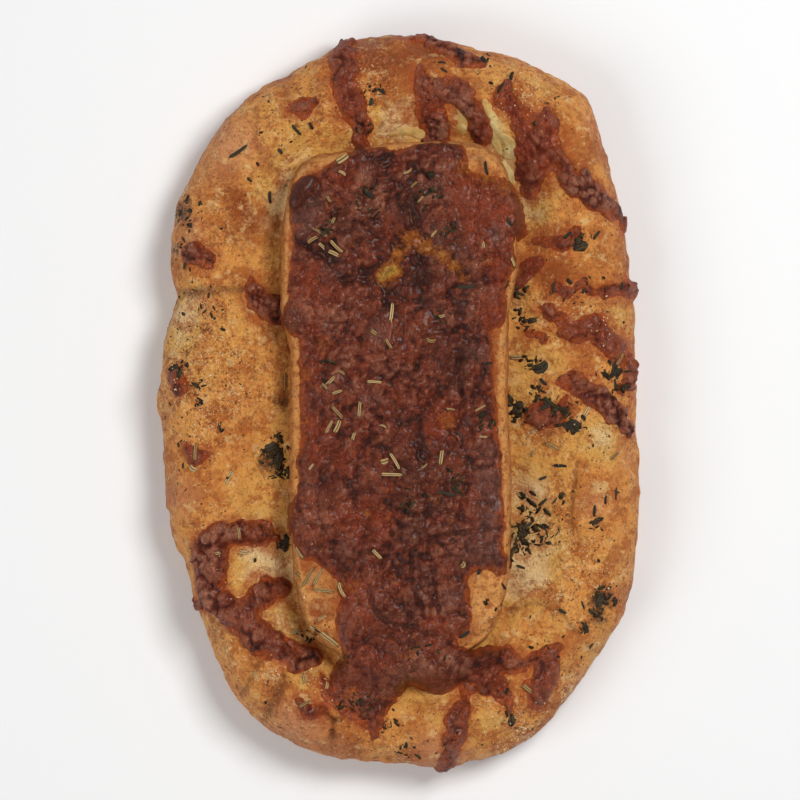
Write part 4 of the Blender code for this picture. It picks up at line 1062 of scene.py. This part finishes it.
# Runs off the slab's lower end and thin reddish scraps, which belong to no strip above.
LOWER_RUNS = (
    ((-14.0, -86.0, 4.0), (-16.0, -90.5, 4.4), (-12.4, -94.6, 4.6), (-8.4, -99.6, 2.8), (-7.6, -103.4, 1.0)),
    ((20.8, -84.0, 3.2), (20.4, -90.5, 2.2), (18.8, -97.4, 2.0), (16.6, -104.0, 2.0), (14.8, -109.4, 2.3),
     (13.8, -113.8, 1.8)),
    ((24.0, -84.0, 3.2), (28.6, -87.2, 3.0), (31.6, -91.0, 2.4), (33.4, -94.4, 1.4), (34.4, -96.8, 0.8)),
    ((33.0, -80.0, 3.4), (37.6, -81.6, 2.4), (41.8, -80.4, 2.0), (45.6, -79.4, 2.2)),
)
SCRAPS = (
    ((34.0, 33.6, 1.2), (36.0, 35.6, 1.8), (38.8, 40.6, 1.6), (43.6, 42.6, 1.4)),
    ((41.6, 48.6, 1.0), (46.4, 49.0, 1.8), (52.2, 48.2, 1.2), (54.2, 51.4, 1.2)),
    ((48.6, 34.4, 1.0), (52.6, 33.4, 1.6), (55.6, 36.0, 1.0)),
    ((-65.6, -15.2, 1.0), (-63.4, -17.0, 2.2), (-60.6, -16.4, 1.2)),
    ((-12, 80.6, 2.0), (-12.6, 84.0, 1.8)),
    ((-30.4, -93.4, 1.0), (-27.4, -96.2, 2.0), (-24.6, -95.4, 1.2)),
    ((40.2, 20.4, 0.8), (44.6, 19.0, 1.3)),
    ((-24.6, -84.4, 1.4), (-22.6, -89.6, 2.0), (-18.8, -92.4, 2.0)),
    ((51.6, 0.6, 1.2), (50.2, -3.6, 1.0)),
)


def strip_path(line):
    """A strip's middle line on the smooth crust, as points in space, with its direction, station and half
    width."""
    fine = smooth_line(np.array(line) / 1000)
    angle, station = station_below(fine[:, 0], fine[:, 1])
    return np.unwrap(angle), station, fine[:, 2], crust_point(angle, station)


def strip_depth(points, paths):
    """Depth inside a group of strips: the most, over all points of their middle lines, of half width less
    distance."""
    depth = np.full(points.shape[:-1], -1.0)
    for _, _, half, middle in paths:
        for width, place in zip(half, middle):
            depth = np.maximum(depth, width - np.linalg.norm(points - place, axis=-1))
    return depth


def make_strip(name, lines, thickness, extra, material, ragged=1.3, lumps=1.0):
    """A group of strips on a grid of directions and stations round their middle lines. The cheese stands on
    the crust by the edge profile of its depth, with the relief, and its underside is sunk in the crust."""
    paths = [strip_path(line) for line in lines]
    angles = np.concatenate([path[0] for path in paths])
    angles = angles[0] + (angles - angles[0] + math.pi) % (2 * math.pi) - math.pi
    stations = np.concatenate([path[1] for path in paths])
    reach = np.linalg.norm(paths[0][3][:, :2], axis=1).mean()
    start, end = angles.min() - STRIP_MARGIN / reach, angles.max() + STRIP_MARGIN / reach
    around = np.arange(start, end, STRIP_CELL / reach)
    start, end = stations.min() - STRIP_MARGIN / 0.020, stations.max() + STRIP_MARGIN / 0.018
    outward = np.arange(max(0.0, start), min(2.6, end), STRIP_CELL / 0.022)
    station, angle = np.meshgrid(outward, around, indexing="ij")
    smooth = crust_point(angle, station)
    depth = strip_depth(smooth, paths)
    lift, looks, skirt, _ = cheese_on(smooth, depth, thickness, ragged, 0.0, lumps)
    # Stronger painted highlight on the strips' lump tops and painted shade in their creases.
    looks["high"] = 1.7 * looks["high"] + 0.04
    top = crust_surface(angle, station, lift)
    low = crust_surface(angle, station, np.full(lift.shape, -2 * CHEESE_SINK))
    skirt = np.where(depth > -STRIP_FRAY, skirt, -1.0)
    return closed_sheet(name, top, low, skirt, cheese_paints(smooth, looks, extra), material), paths


stain_paths = []
for strip_name, strip_lines in STRIPS.items():
    shown = strip_name.replace("cheese", "melted")
    strip, strip_paths = make_strip(shown, strip_lines, STRIP_THICKNESS, 0.4, CHEESE)
    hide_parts(strip_name)
    stain_paths += strip_paths
for kind, table, share, extra in (("run_lower", LOWER_RUNS, 1.0, 0.4), ("scrap", SCRAPS, 0.4, 0.9)):
    for number, strip_line in enumerate(table):
        shown = f"melted_{kind}_{number}"
        strip, strip_paths = make_strip(shown, (strip_line,), STRIP_THICKNESS * share, extra, CHEESE)
        stain_paths += strip_paths

# The fat of the strips stains the crust round them: a soft bell of the depth inside and outside their edges.
STAIN_WIDTH = 0.0038
STAIN_FRAY = 0.0026
crust_points = np.empty(len(loaf.data.vertices) * 3, np.float32)
loaf.data.vertices.foreach_get("co", crust_points)
crust_points = crust_points.reshape(-1, 3).astype(float)
stain = strip_depth(crust_points, stain_paths) + STAIN_FRAY * soft_noise(crust_points, 0.0075, 57)
stain = smooth_step(1 + stain / STAIN_WIDTH)
loaf.data.attributes["stain"].data.foreach_set("value", stain.astype(np.float32))

# The pale pools. Cheese that melted and ran off the slab's upper end and never browned: thin cream-coloured
# strips on the crust. Each line is the middle of a pool, as for the strips.
PALE_POOLS = (
    ((31.0, 81.6, 1.6), (33.4, 79.0, 3.0), (34.6, 76.4, 2.2)),
    ((18.6, 91.4, 1.0), (19.6, 87.6, 1.8), (19.0, 83.6, 1.5)),
    ((26.4, 92.4, 0.8), (28.4, 87.6, 1.8), (29.8, 82.4, 2.2), (30.4, 77.6, 1.6)),
    ((32.0, 72.0, 1.6), (33.4, 69.8, 2.3), (34.4, 68.0, 1.4)),
    ((-3.0, 82.4, 1.0), (2.0, 83.4, 1.8), (8.0, 82.6, 1.6)),
)


def pale_cheese_material():
    """Pale molten cheese: cream, more yellow in its thicker parts, with a soft gloss."""
    material, tree, shader = start_material("pale_cheese", 0.35)
    baked = baked_grain(tree, 260.0, 600.0, 900.0)
    colour = mixed(tree, baked["Broad"], tint(196, 166, 96), tint(214, 192, 134))
    colour = coated(tree, colour, 0.0, (("thin", 0.2, 1.2, 0.7, tint(204, 152, 78)),))
    colour = mixed(tree, spread(tree, baked["Fine"], 0.7, 1.0, 0.0, 0.5), colour, tint(180, 134, 66))
    tree.links.new(colour, shader.inputs["Base Color"])
    shader.inputs["Roughness"].default_value = 0.38
    join_bump(tree, shader, baked["Height"], 0.7, 0.0006)
    return material


pale_cheese = pale_cheese_material()
for number, pool_line in enumerate(PALE_POOLS):
    thickness = STRIP_THICKNESS * 0.3
    pool, _ = make_strip(f"pale_pool_{number}", (pool_line,), thickness, 0.0, pale_cheese, 0.5, 0.15)

# The dried rosemary. Whole and broken needle leaves, straw-coloured with a dark groove between their rolled
# edges, strewn on before baking and stuck in the cheese and the oil. Some have gone dark green or nearly
# black.
LEAF_WIDTH = 0.00100
LEAF_HEIGHT = 0.00065
# Where the search for the surface starts, and the height below which a thing would lie on the floor.
DROP_HEIGHT = 0.06
LEAST_HEIGHT = 0.006
# Straw-coloured leaves: x, y, direction in degrees, length and width share, in millimetres.
STRAW_LEAVES = (
    (-24.8, 51.8, -33, 6.4, 0.8), (-27, 49.6, 25, 4.4, 1.1), (-24.2, 47.4, -32, 4, 1),
    (-19.5, 47.4, -50, 6.2, 1.1), (-20.5, 45.3, -25, 4, 1.2), (-17.7, 74.4, 36, 4.6, 1.9),
    (25.7, 48, -75, 2.6, 1), (-2.8, 26.2, 81, 8.5, 1.1), (-3.4, 17.4, -62, 4, 0.9),
    (-8, 20.8, -34, 2.8, 1.2), (9.6, 18.6, -10, 3.3, 1.1), (-18, 8.4, -27, 3, 0.9),
    (-21.4, 5.9, 43, 4.7, 1), (-23.2, 4.2, -38, 2.9, 0.8), (-19.4, 2.5, 19, 3.7, 0.9),
    (-7.8, 5.6, -5, 5.3, 0.8), (-12.4, -2.3, 86, 7, 1), (-18.9, -4.3, -46, 7.7, 1),
    (-21.4, -7.4, 58, 7, 0.9), (-19.4, -8.1, 66, 4.6, 1.4), (-14.3, -11.2, 74, 2.9, 1),
    (-4.6, -18.8, 20, 3.4, 1.7), (-1.6, -18.9, -61, 6.4, 0.9), (-2.8, -22.9, 2, 8.2, 1),
    (12.9, -16.7, 83, 7.5, 1.2), (24.8, -2.5, 30, 4.3, 0.6), (-7.4, -47.1, -42, 6.6, 1),
    (19.5, -50.8, 40, 2.6, 1.5), (-31, -47.1, -54, 4.6, 1), (-28.5, -54.6, 52, 7.4, 1.1),
    (-25.4, -54.6, 64, 6.2, 1), (-31.3, -53.9, -34, 2.4, 1.2), (-23.6, -58.9, -6, 6.4, 1),
    (-18, -58.6, -65, 5.6, 1), (-21.7, -73.8, -49, 7.8, 1.5), (-32.4, -71.9, 3, 4.4, 1.2),
    (-17.7, -80, -34, 3.8, 0.9), (-29.8, -86.2, 90, 3.7, 1), (-22.8, -88.7, 79, 3.5, 1),
    (-29, -93.9, 43, 6.3, 1), (39.5, -89.3, -40, 4.2, 1.2), (-63.4, -16.1, 87, 5.6, 1),
    (-64, -21.1, -33, 3, 1.5), (-53, -23.9, 60, 5.1, 1), (-35.7, 6.5, 88, 7.8, 0.8),
    (34.7, 42.8, -70, 4, 0.9), (67.6, 12.1, 56, 6.4, 0.9), (58, -3.3, 58, 4.2, 1), (36, 13.3, 2, 4, 1.4),
    (47.1, -14.3, -22, 5, 1.1), (66.3, -17.4, 34, 4, 1), (37.5, -29.5, -20, 4.4, 1),
    (-49.9, -41.2, -86, 4, 0.9), (-48.2, -47.1, 0, 3.2, 1.2), (-56.4, -47.4, 23, 2.5, 1),
    (-20.6, 55.4, 60, 2.4, 1), (10.4, 51.4, 44, 3.4, 0.7), (-36, 66.4, 12, 2.2, 1),
    (-24, -67.4, 30, 3.6, 0.9), (-26.8, -70.4, -20, 3.0, 0.9), (-5.2, -8.2, -28, 2.6, 0.6),
    (15.6, -2.8, -12, 3.4, 0.6), (7.6, -20.4, 40, 2.6, 0.6), (-27.4, -20.6, 52, 2.6, 0.7),
    (6.8, 62.6, 52, 4.6, 0.6), (4.6, 66.6, 40, 3.6, 0.8), (2.4, 70.6, 32, 4.0, 0.7),
    (-17.8, 70.0, -32, 2.8, 0.8), (-22.0, 62.2, -62, 3.0, 0.8), (13, 26.0, 14, 2.6, 0.9),
    (25.4, -11.4, -8, 3.8, 0.6), (41.0, -16.6, 78, 2.2, 0.7),
)
DARK_LEAVES = (
    (20.5, 35, 0, 6.2, 1), (26.7, 71.6, -82, 5, 0.8), (33.6, 55.2, -50, 4, 1), (-50, 76.9, 33, 7.2, 1.1),
    (-40.4, 62.8, -78, 4.2, 1), (-32, 83.6, -50, 4.6, 0.8), (-27.6, 85, -60, 3.2, 0.9),
    (-37.2, 77, -45, 2.4, 1), (-5.8, 95.6, -30, 3.6, 0.8), (-9, 92.4, 80, 2.8, 1.2),
    (34.6, 100.4, 75, 3, 1), (31.2, 96.4, 52, 4.2, 1), (26, 105.4, -60, 3.4, 1.2),
    (14.6, -28.9, -13, 6.3, 1), (39.4, -39, 30, 4, 1), (49.6, -20.4, -4, 5.2, 0.9),
    (44.4, -24.2, 20, 3, 0.8), (49.5, -2.6, -8, 8, 1), (52.6, -8.4, -24, 6.4, 1.4), (46, -1.8, 32, 6, 1.3),
    (44.6, 5.6, -40, 3.6, 1), (36.9, 33, -20, 4.2, 0.8), (52.1, 51.0, 40, 3.4, 1),
    (60.8, 51, 52, 3.6, 0.9), (20.1, -72.2, 34, 4.8, 1.1), (24.5, -52.7, 76, 3.2, 1),
    (60.2, -34.2, 85, 4, 0.8), (60.6, -37.6, 44, 4.2, 0.9), (44.6, -31.4, 38, 4.2, 0.9),
    (57, 34.4, 70, 3.4, 0.8), (47.6, 34.8, 85, 4, 0.8), (68.6, 35.4, 80, 2.6, 0.8),
    (-66.4, 42.0, 64, 3.6, 0.8), (-65.8, 62.4, 70, 3, 1), (33, -90, 60, 2.4, 1),
    (57.4, -70.6, -60, 3.6, 1.6), (50.4, -65.4, -20, 3, 1), (37.6, -51.8, -20, 3.4, 0.7),
    (31.9, -57.6, -40, 3, 0.7), (66.8, -29.0, 88, 4.4, 0.5), (-55.8, -8.4, -78, 3, 0.6),
    (8.2, 63.6, 40, 3.0, 1), (-9.6, 63.8, -42, 4.4, 1.4), (16.6, 54, -60, 3, 1), (27.6, 11.2, 0, 2.2, 0.8),
    (-46.6, 68.2, -40, 2.2, 0.7), (13.0, 104.4, -2, 2.6, 0.7), (13.6, 102.0, -36, 2.6, 0.7),
    (-35.6, -44.4, 88, 6.0, 1.7), (63.6, -30.8, 88, 3.0, 0.7), (-24.4, 12.0, 30, 1.8, 0.8),
    (41, 24.6, 10, 3.2, 1.6), (43.6, 10.4, 25, 6.2, 3.0), (55.8, 48.0, -15, 5.0, 3.4),
    (36.6, -2.4, 60, 5.0, 2.4), (-37.6, -18.4, 70, 5.4, 2.4), (-40.0, -14.6, 20, 4.4, 2.2),
    (62.0, -62.0, 60, 5.0, 2.0), (37.4, -41.0, 80, 4.4, 2.2), (46.4, -1.2, -35, 6.0, 1.8),
    (54.0, -7.6, -20, 5.0, 2.2), (66.4, 9.6, 75, 5.0, 1.8),
)


def settle(x, y):
    """Height and facing of the highest surface under each point of the plan, found by looking straight
    down."""
    graph = bpy.context.evaluated_depsgraph_get()
    down = Vector((0, 0, -1))
    places, facings = [], []
    for point in zip(x, y):
        above = Vector((*point, DROP_HEIGHT))
        hit, place, facing, _, _, _ = bpy.context.scene.ray_cast(graph, above, down)
        places.append(place if hit else (*point, 0.0))
        facings.append(facing if hit else (0.0, 0.0, 1.0))
    return np.array(places), np.array(facings)


def strewn(name, template, faces, rows, sizes, facing_share, sink, seed, material, bend=0.0):
    """Many small like pieces joined in one mesh: each copy of the template is scaled, turned to its
    direction and tilted part of the way to the surface under it. Rows are x, y, direction in degrees; sizes
    are metres."""
    rng = np.random.default_rng(seed)
    places, facings = settle(*rows[:2])
    landed = places[:, 2] > LEAST_HEIGHT
    places, facings, sizes = places[landed], facings[landed], sizes[landed]
    degrees = rows[2][landed]
    upright = np.array((0.0, 0.0, 1.0 - facing_share))
    up = facings * facing_share + upright + rng.normal(0, 0.06, facings.shape)
    up /= np.linalg.norm(up, axis=1)[:, None]
    heading = np.stack((np.cos(np.radians(degrees)), np.sin(np.radians(degrees)), 0 * degrees), -1)
    heading -= up * (heading * up).sum(axis=1)[:, None]
    heading /= np.linalg.norm(heading, axis=1)[:, None]
    side = np.cross(up, heading)
    frames = np.stack((heading, side, up), axis=1) * sizes[:, :, None]
    count = len(degrees)
    bent = np.repeat(template[None], count, axis=0)
    bent[..., 1] += rng.normal(0, 0.5, count)[:, None] * (4 * bent[..., 0] ** 2 - 0.5) * bend
    points = places[:, None] - up[:, None] * sink + bent @ frames
    numbers = faces[None] + np.arange(count)[:, None, None] * len(template)
    shade = np.repeat(rng.uniform(0, 1, count), len(template))
    paints = {"shade": shade, "across": np.tile(template[:, 1], count)}
    faces = numbers.reshape(-1, faces.shape[1]).tolist()
    return mesh_piece(name, points.reshape(-1, 3), faces, paints, material)


def leaf_template(rows=9, around=12):
    """A needle leaf of unit length, width and height: half width follows a flat bell with blunt ends, the
    top has two rolled edges with a groove between them, and the leaf bends a little."""
    u = np.linspace(-0.5, 0.5, rows)
    turn = np.arange(around) / around * 2 * math.pi
    half = 0.5 * np.clip(1 - (2 * np.abs(u)) ** 5, 0, 1) ** 0.5 * (1 - 0.25 * u) + 0.03
    across = np.cos(turn)
    rise = np.where(np.sin(turn) > 0, np.sin(turn) * (0.55 + 0.6 * np.abs(across)), 0.5 * np.sin(turn))
    v = half[:, None] * across
    w = (half[:, None] * rise) + 0.25 * (1 - (2 * u[:, None]) ** 2) - 0.12
    points = np.stack((np.broadcast_to(u[:, None], v.shape), v, w), -1).reshape(-1, 3)
    numbers = np.arange(rows * around).reshape(rows, around)
    low, high = numbers[:-1], numbers[1:]
    sides = np.stack((low, high, np.roll(high, -1, 1), np.roll(low, -1, 1)), -1).reshape(-1, 4)
    strips = []
    near = np.arange(around // 2 - 1)
    for ring in (numbers[0], numbers[-1][::-1]):
        strips.append(np.stack((ring[near], ring[near + 1], ring[-2 - near], ring[-1 - near]), -1))
    return points, np.concatenate([sides] + strips)


def leaf_material(name, pale, deep, groove):
    """A dried leaf: two tones from leaf to leaf, and a darker groove along its middle."""
    material, tree, shader = start_material(name, 0.25)
    colour = mixed(tree, painted(tree, "shade"), pale, deep)
    across = painted(tree, "across")
    middle = add_node(tree, "ShaderNodeMath", ((0, across),), operation="ABSOLUTE").outputs[0]
    colour = mixed(tree, spread(tree, middle, 0.06, 0.2, 0.95, 0.0), colour, groove)
    colour = mixed(tree, spread(tree, middle, 0.36, 0.5, 0.0, 0.7), colour, groove)
    colour = flecked(tree, colour, ((2500.0, 2.0, 0.55, 0.3, 0.7, 0.4, groove),))
    tree.links.new(colour, shader.inputs["Base Color"])
    shader.inputs["Roughness"].default_value = 0.65
    return material


def strew_leaves(name, table, seed, material):
    """The leaves of a table, each at its place: length as given, width and height by its share."""
    x, y, degrees, length, share = np.array(table).T
    template, faces = leaf_template()
    sizes = np.stack((length / 1000, LEAF_WIDTH * share, LEAF_HEIGHT * np.sqrt(share)), -1)
    rows = (x / 1000, y / 1000, degrees)
    leaves = strewn(name, template, faces, rows, sizes, 0.7, -0.0002, seed, material, 0.4)
    return leaves


bpy.context.view_layer.update()
straw = leaf_material("straw_leaf", tint(228, 194, 132), tint(162, 126, 74), tint(74, 52, 30))
dark = leaf_material("dark_leaf", tint(74, 66, 44), tint(40, 36, 28), tint(30, 24, 20))
strew_leaves("rosemary_straw", STRAW_LEAVES, 61, straw)
strew_leaves("rosemary_dark", DARK_LEAVES, 62, dark)

# Crumbled herbs. Thin dark flakes of crushed leaf, in clumps where the oil carried them together and in a
# thin scatter between.
FLAKE_LENGTH = 0.0013
LOOSE_FLAKES = 420
# Clumps: x, y, radius and number of flakes, in millimetres.
HERB_CLUMPS = (
    (-39, -17, 3.6, 70), (-37, -22, 3.0, 34), (-38, -12, 2.0, 14), (38.4, -40, 4.0, 70),
    (44, -42, 3.2, 36), (36.5, -46, 3.2, 30), (40, -34, 3.4, 24), (42, 10.6, 2.2, 26),
    (38.6, 12.4, 1.4, 10), (37, -3, 3.2, 40), (43.4, 1.4, 2.8, 26), (49.6, -3.2, 3.6, 34),
    (55.4, -8.4, 2.4, 24), (62, -60.6, 2.6, 34), (60.8, -66, 2.4, 24), (55.6, 48.6, 2.0, 30),
    (-36, -44.6, 1.5, 22), (-70, 60, 3.4, 26), (-66.4, 58, 3.2, 18), (-67, 47, 3.0, 14),
    (66, 8.6, 3.4, 36), (68.4, 4.4, 2.6, 18), (-68.6, 10.6, 2.0, 16), (-62.4, 4, 1.6, 12),
    (-62.4, -1.4, 1.4, 10), (36, 34, 3.0, 22), (38.4, 24.2, 3.0, 22), (-8.4, 97, 4.0, 14),
    (27, 105, 1.8, 8), (-11.4, 84, 2.0, 12), (-22, 52, 2.0, 12), (-22, 10.6, 2.2, 10), (-8.8, 62, 3.6, 24),
    (8, 64, 4.4, 24), (16, 52.4, 3.6, 18), (-25.6, -72, 3.0, 14), (-28, -74, 2.4, 12), (-12, -94, 3.4, 26),
    (-18, -94, 2.4, 12), (44, -76, 3.0, 8), (57, -71, 1.8, 12), (16.4, -24.6, 3.4, 26), (26, -8, 3.0, 18),
    (0, -31, 6.0, 14), (13.6, 26, 3.6, 12), (27.4, -62, 3.0, 8), (8.6, -79, 5.0, 12), (60.6, -38, 1.8, 10),
    (-70, 34, 3.0, 8), (-60, 28, 5.0, 16), (3, -108, 2.4, 12), (-3.4, -101, 2.4, 10), (34, -98, 2.4, 5),
    (48, -34, 4.6, 14), (56, 34, 4.0, 14),
)


def flake_template():
    """A crushed flake: a small six-cornered plate with both faces and a rim, bent along its length."""
    outline = np.array(((-0.5, -0.2), (-0.15, -0.5), (0.5, -0.25), (0.42, 0.3), (0.0, 0.5), (-0.45, 0.25)))
    rise = 0.4 * outline[:, 0] ** 2 + 0.25 * outline[:, 1]
    over = np.column_stack((outline, rise + 0.22))
    under = np.column_stack((outline * 0.9, rise - 0.22))
    points = np.concatenate((over, under))
    faces = [(0, 1, 2, 3), (0, 3, 4, 5), (9, 8, 7, 6), (11, 10, 9, 6)]
    faces += [(i, i + 6, (i + 1) % 6 + 6, (i + 1) % 6) for i in range(6)]
    return points, np.array(faces)


def scatter_in(clumps, seed):
    """Random places round each clump's middle, as a bell of its radius."""
    rng = np.random.default_rng(seed)
    counts = np.array([row[3] for row in clumps])
    middles = np.repeat(np.array(clumps)[:, :3], counts, axis=0)
    away = rng.normal(0, 0.62, (counts.sum(), 2)) * middles[:, 2:]
    x, y = ((middles[:, :2] + away) / 1000).T
    return x, y, rng.uniform(0, 360, len(x)), rng


def scatter_on_loaf(count, low, high, seed):
    """Random places on the crust, between two shares of the way from the seat to the loaf's edge."""
    rng = np.random.default_rng(seed)
    angle = rng.uniform(0, 2 * math.pi, count)
    share = np.sqrt(rng.uniform(low**2, high**2, count))
    seat, edge = slab_reach(angle) + SEAT_GAP, bread_reach(angle)
    reach = seat + (edge - seat) * share
    return reach * np.cos(angle), reach * np.sin(angle), rng.uniform(0, 360, count), rng


*clumped, rng = scatter_in(HERB_CLUMPS, 71)
*loose, _ = scatter_on_loaf(LOOSE_FLAKES, 0.0, 0.98, 72)
rows = [np.concatenate(pair) for pair in zip(clumped, loose)]
long = rng.lognormal(math.log(FLAKE_LENGTH), 0.5, len(rows[0]))
long[-LOOSE_FLAKES:] *= 0.5
flake_sizes = np.stack((long, long * rng.uniform(0.22, 0.75, len(long)), long * 0.16), -1)
flake_points, flake_faces = flake_template()
herb = leaf_material("crushed_herb", tint(96, 80, 48), tint(44, 36, 24), tint(46, 34, 20))
flakes = strewn("herb_flakes", flake_points, flake_faces, rows, flake_sizes, 0.8, 0.0, 73, herb)

# Toasted crumbs. Specks of browned flour and cheese dust on the crust, and pale grains of semolina that
# stuck to the rim from the work board.
SPECK_COUNT = 1500
SPECK_LENGTH = 0.00042
GRAIN_LENGTH = 0.00048
# Clumps of grains: x, y, radius and number, in millimetres.
GRAIN_CLUMPS = (
    (56, -90, 5, 60), (50, -98, 5, 60), (62, -80, 5, 50), (40, -104, 4, 30), (-62, -74, 4, 30),
    (-54, -84, 5, 40), (-40, -84, 3, 40), (-44, -98, 3, 30), (64, -11, 6, 50), (-66, 8, 7, 70),
    (-62, -6, 7, 60), (-60, 22, 7, 50), (56, -52, 8, 70), (40, 92, 8, 50), (-26, -88, 5, 30),
    (28, -102, 5, 30), (30, -60, 5, 30), (-30, -62, 5, 30), (38, -104, 3.4, 110), (33, -109, 2.6, 70),
    (52, -92, 2.6, 60), (66, 24, 6, 30), (0, -110, 5, 30), (-50, -54, 6, 30), (44, -14, 8, 40),
)


def crumb_template():
    """A crumb: eight faces round six points, a little uneven."""
    points = ((0.5, 0, 0), (0, 0.45, 0.05), (-0.5, 0.05, 0), (0, -0.5, 0), (0.05, 0, 0.5), (0, 0, -0.5))
    faces = [(i, (i + 1) % 4, 4) for i in range(4)] + [((i + 1) % 4, i, 5) for i in range(4)]
    return np.array(points), np.array(faces)


def crumb_material(name, pale, deep):
    """A toasted crumb: two tones from crumb to crumb."""
    material, tree, shader = start_material(name, 0.5)
    colour = mixed(tree, painted(tree, "shade"), pale, deep)
    colour = flecked(tree, colour, ((3000.0, 2.0, 0.55, 0.3, 0.7, 0.4, deep),))
    tree.links.new(colour, shader.inputs["Base Color"])
    shader.inputs["Roughness"].default_value = 0.55
    return material


crumb_points, crumb_faces = crumb_template()
toasted = crumb_material("toasted_speck", tint(140, 70, 32), tint(84, 40, 24))
semolina = crumb_material("semolina", tint(240, 222, 190), tint(220, 180, 122))
for crumbs, scatter, length, height, seed, material in (
    ("toasted_specks", scatter_on_loaf(SPECK_COUNT, 0.0, 1.0, 81), SPECK_LENGTH, 0.45, 82, toasted),
    ("semolina_grains", scatter_in(GRAIN_CLUMPS, 83), GRAIN_LENGTH, 0.6, 84, semolina),
):
    *rows, rng = scatter
    long = rng.lognormal(math.log(length), 0.35, len(rows[0]))
    crumb_sizes = np.stack((long, long * 0.8, long * height), -1)
    piece = strewn(crumbs, crumb_points, crumb_faces, rows, crumb_sizes, 1.0, 0.0, seed, material)

# The studio: a pale floor, a large soft lamp up to the right, a weaker one on the left, and a camera
# straight above with a long lens, so that the loaf's sides don't lean into the view.
CAMERA_HEIGHT = 3.0
PICTURE_WIDTH = 0.248
PICTURE_PLANE = 0.020
floor_mesh = bpy.data.meshes.new("floor")
floor_mesh.from_pydata([(-6, -6, 0), (6, -6, 0), (6, 6, 0), (-6, 6, 0)], [], [(0, 1, 2, 3)])
floor = bpy.data.objects.new("floor", floor_mesh)
bpy.context.scene.collection.objects.link(floor)
paper, _, paper_shader = start_material("white_paper", 0.5)
paper_shader.inputs["Base Color"].default_value = (0.94, 0.94, 0.94, 1.0)
paper_shader.inputs["Roughness"].default_value = 0.9
floor_mesh.materials.append(paper)


def soft_lamp(name, place, size, power):
    """A square lamp at a place, facing the middle of the loaf."""
    lamp = bpy.data.lights.new(name, "AREA")
    lamp.size = size
    lamp.energy = power
    held = bpy.data.objects.new(name, lamp)
    held.location = place
    held.rotation_euler = (-Vector(place)).to_track_quat("-Z", "Y").to_euler()
    bpy.context.scene.collection.objects.link(held)


soft_lamp("key_lamp", (0.50, 0.36, 1.05), 0.45, 10.0)
soft_lamp("fill_lamp", (-0.8, -0.5, 0.95), 0.8, 6.5)
world = bpy.data.worlds.new("studio")
world.use_nodes = True
background = world.node_tree.nodes["Background"]
background.inputs["Color"].default_value = (1.0, 1.0, 1.0, 1.0)
background.inputs["Strength"].default_value = 0.20
bpy.context.scene.world = world
bpy.context.scene.view_settings.view_transform = "Standard"

lens = bpy.data.cameras.new("camera")
lens.sensor_width = 36.0
lens.lens = 36.0 * (CAMERA_HEIGHT - PICTURE_PLANE) / PICTURE_WIDTH
lens.clip_start = 0.1
lens.clip_end = 20.0
camera = bpy.data.objects.new("camera", lens)
camera.location = (0.0, 0.0, CAMERA_HEIGHT)
bpy.context.scene.collection.objects.link(camera)
bpy.context.scene.camera = camera
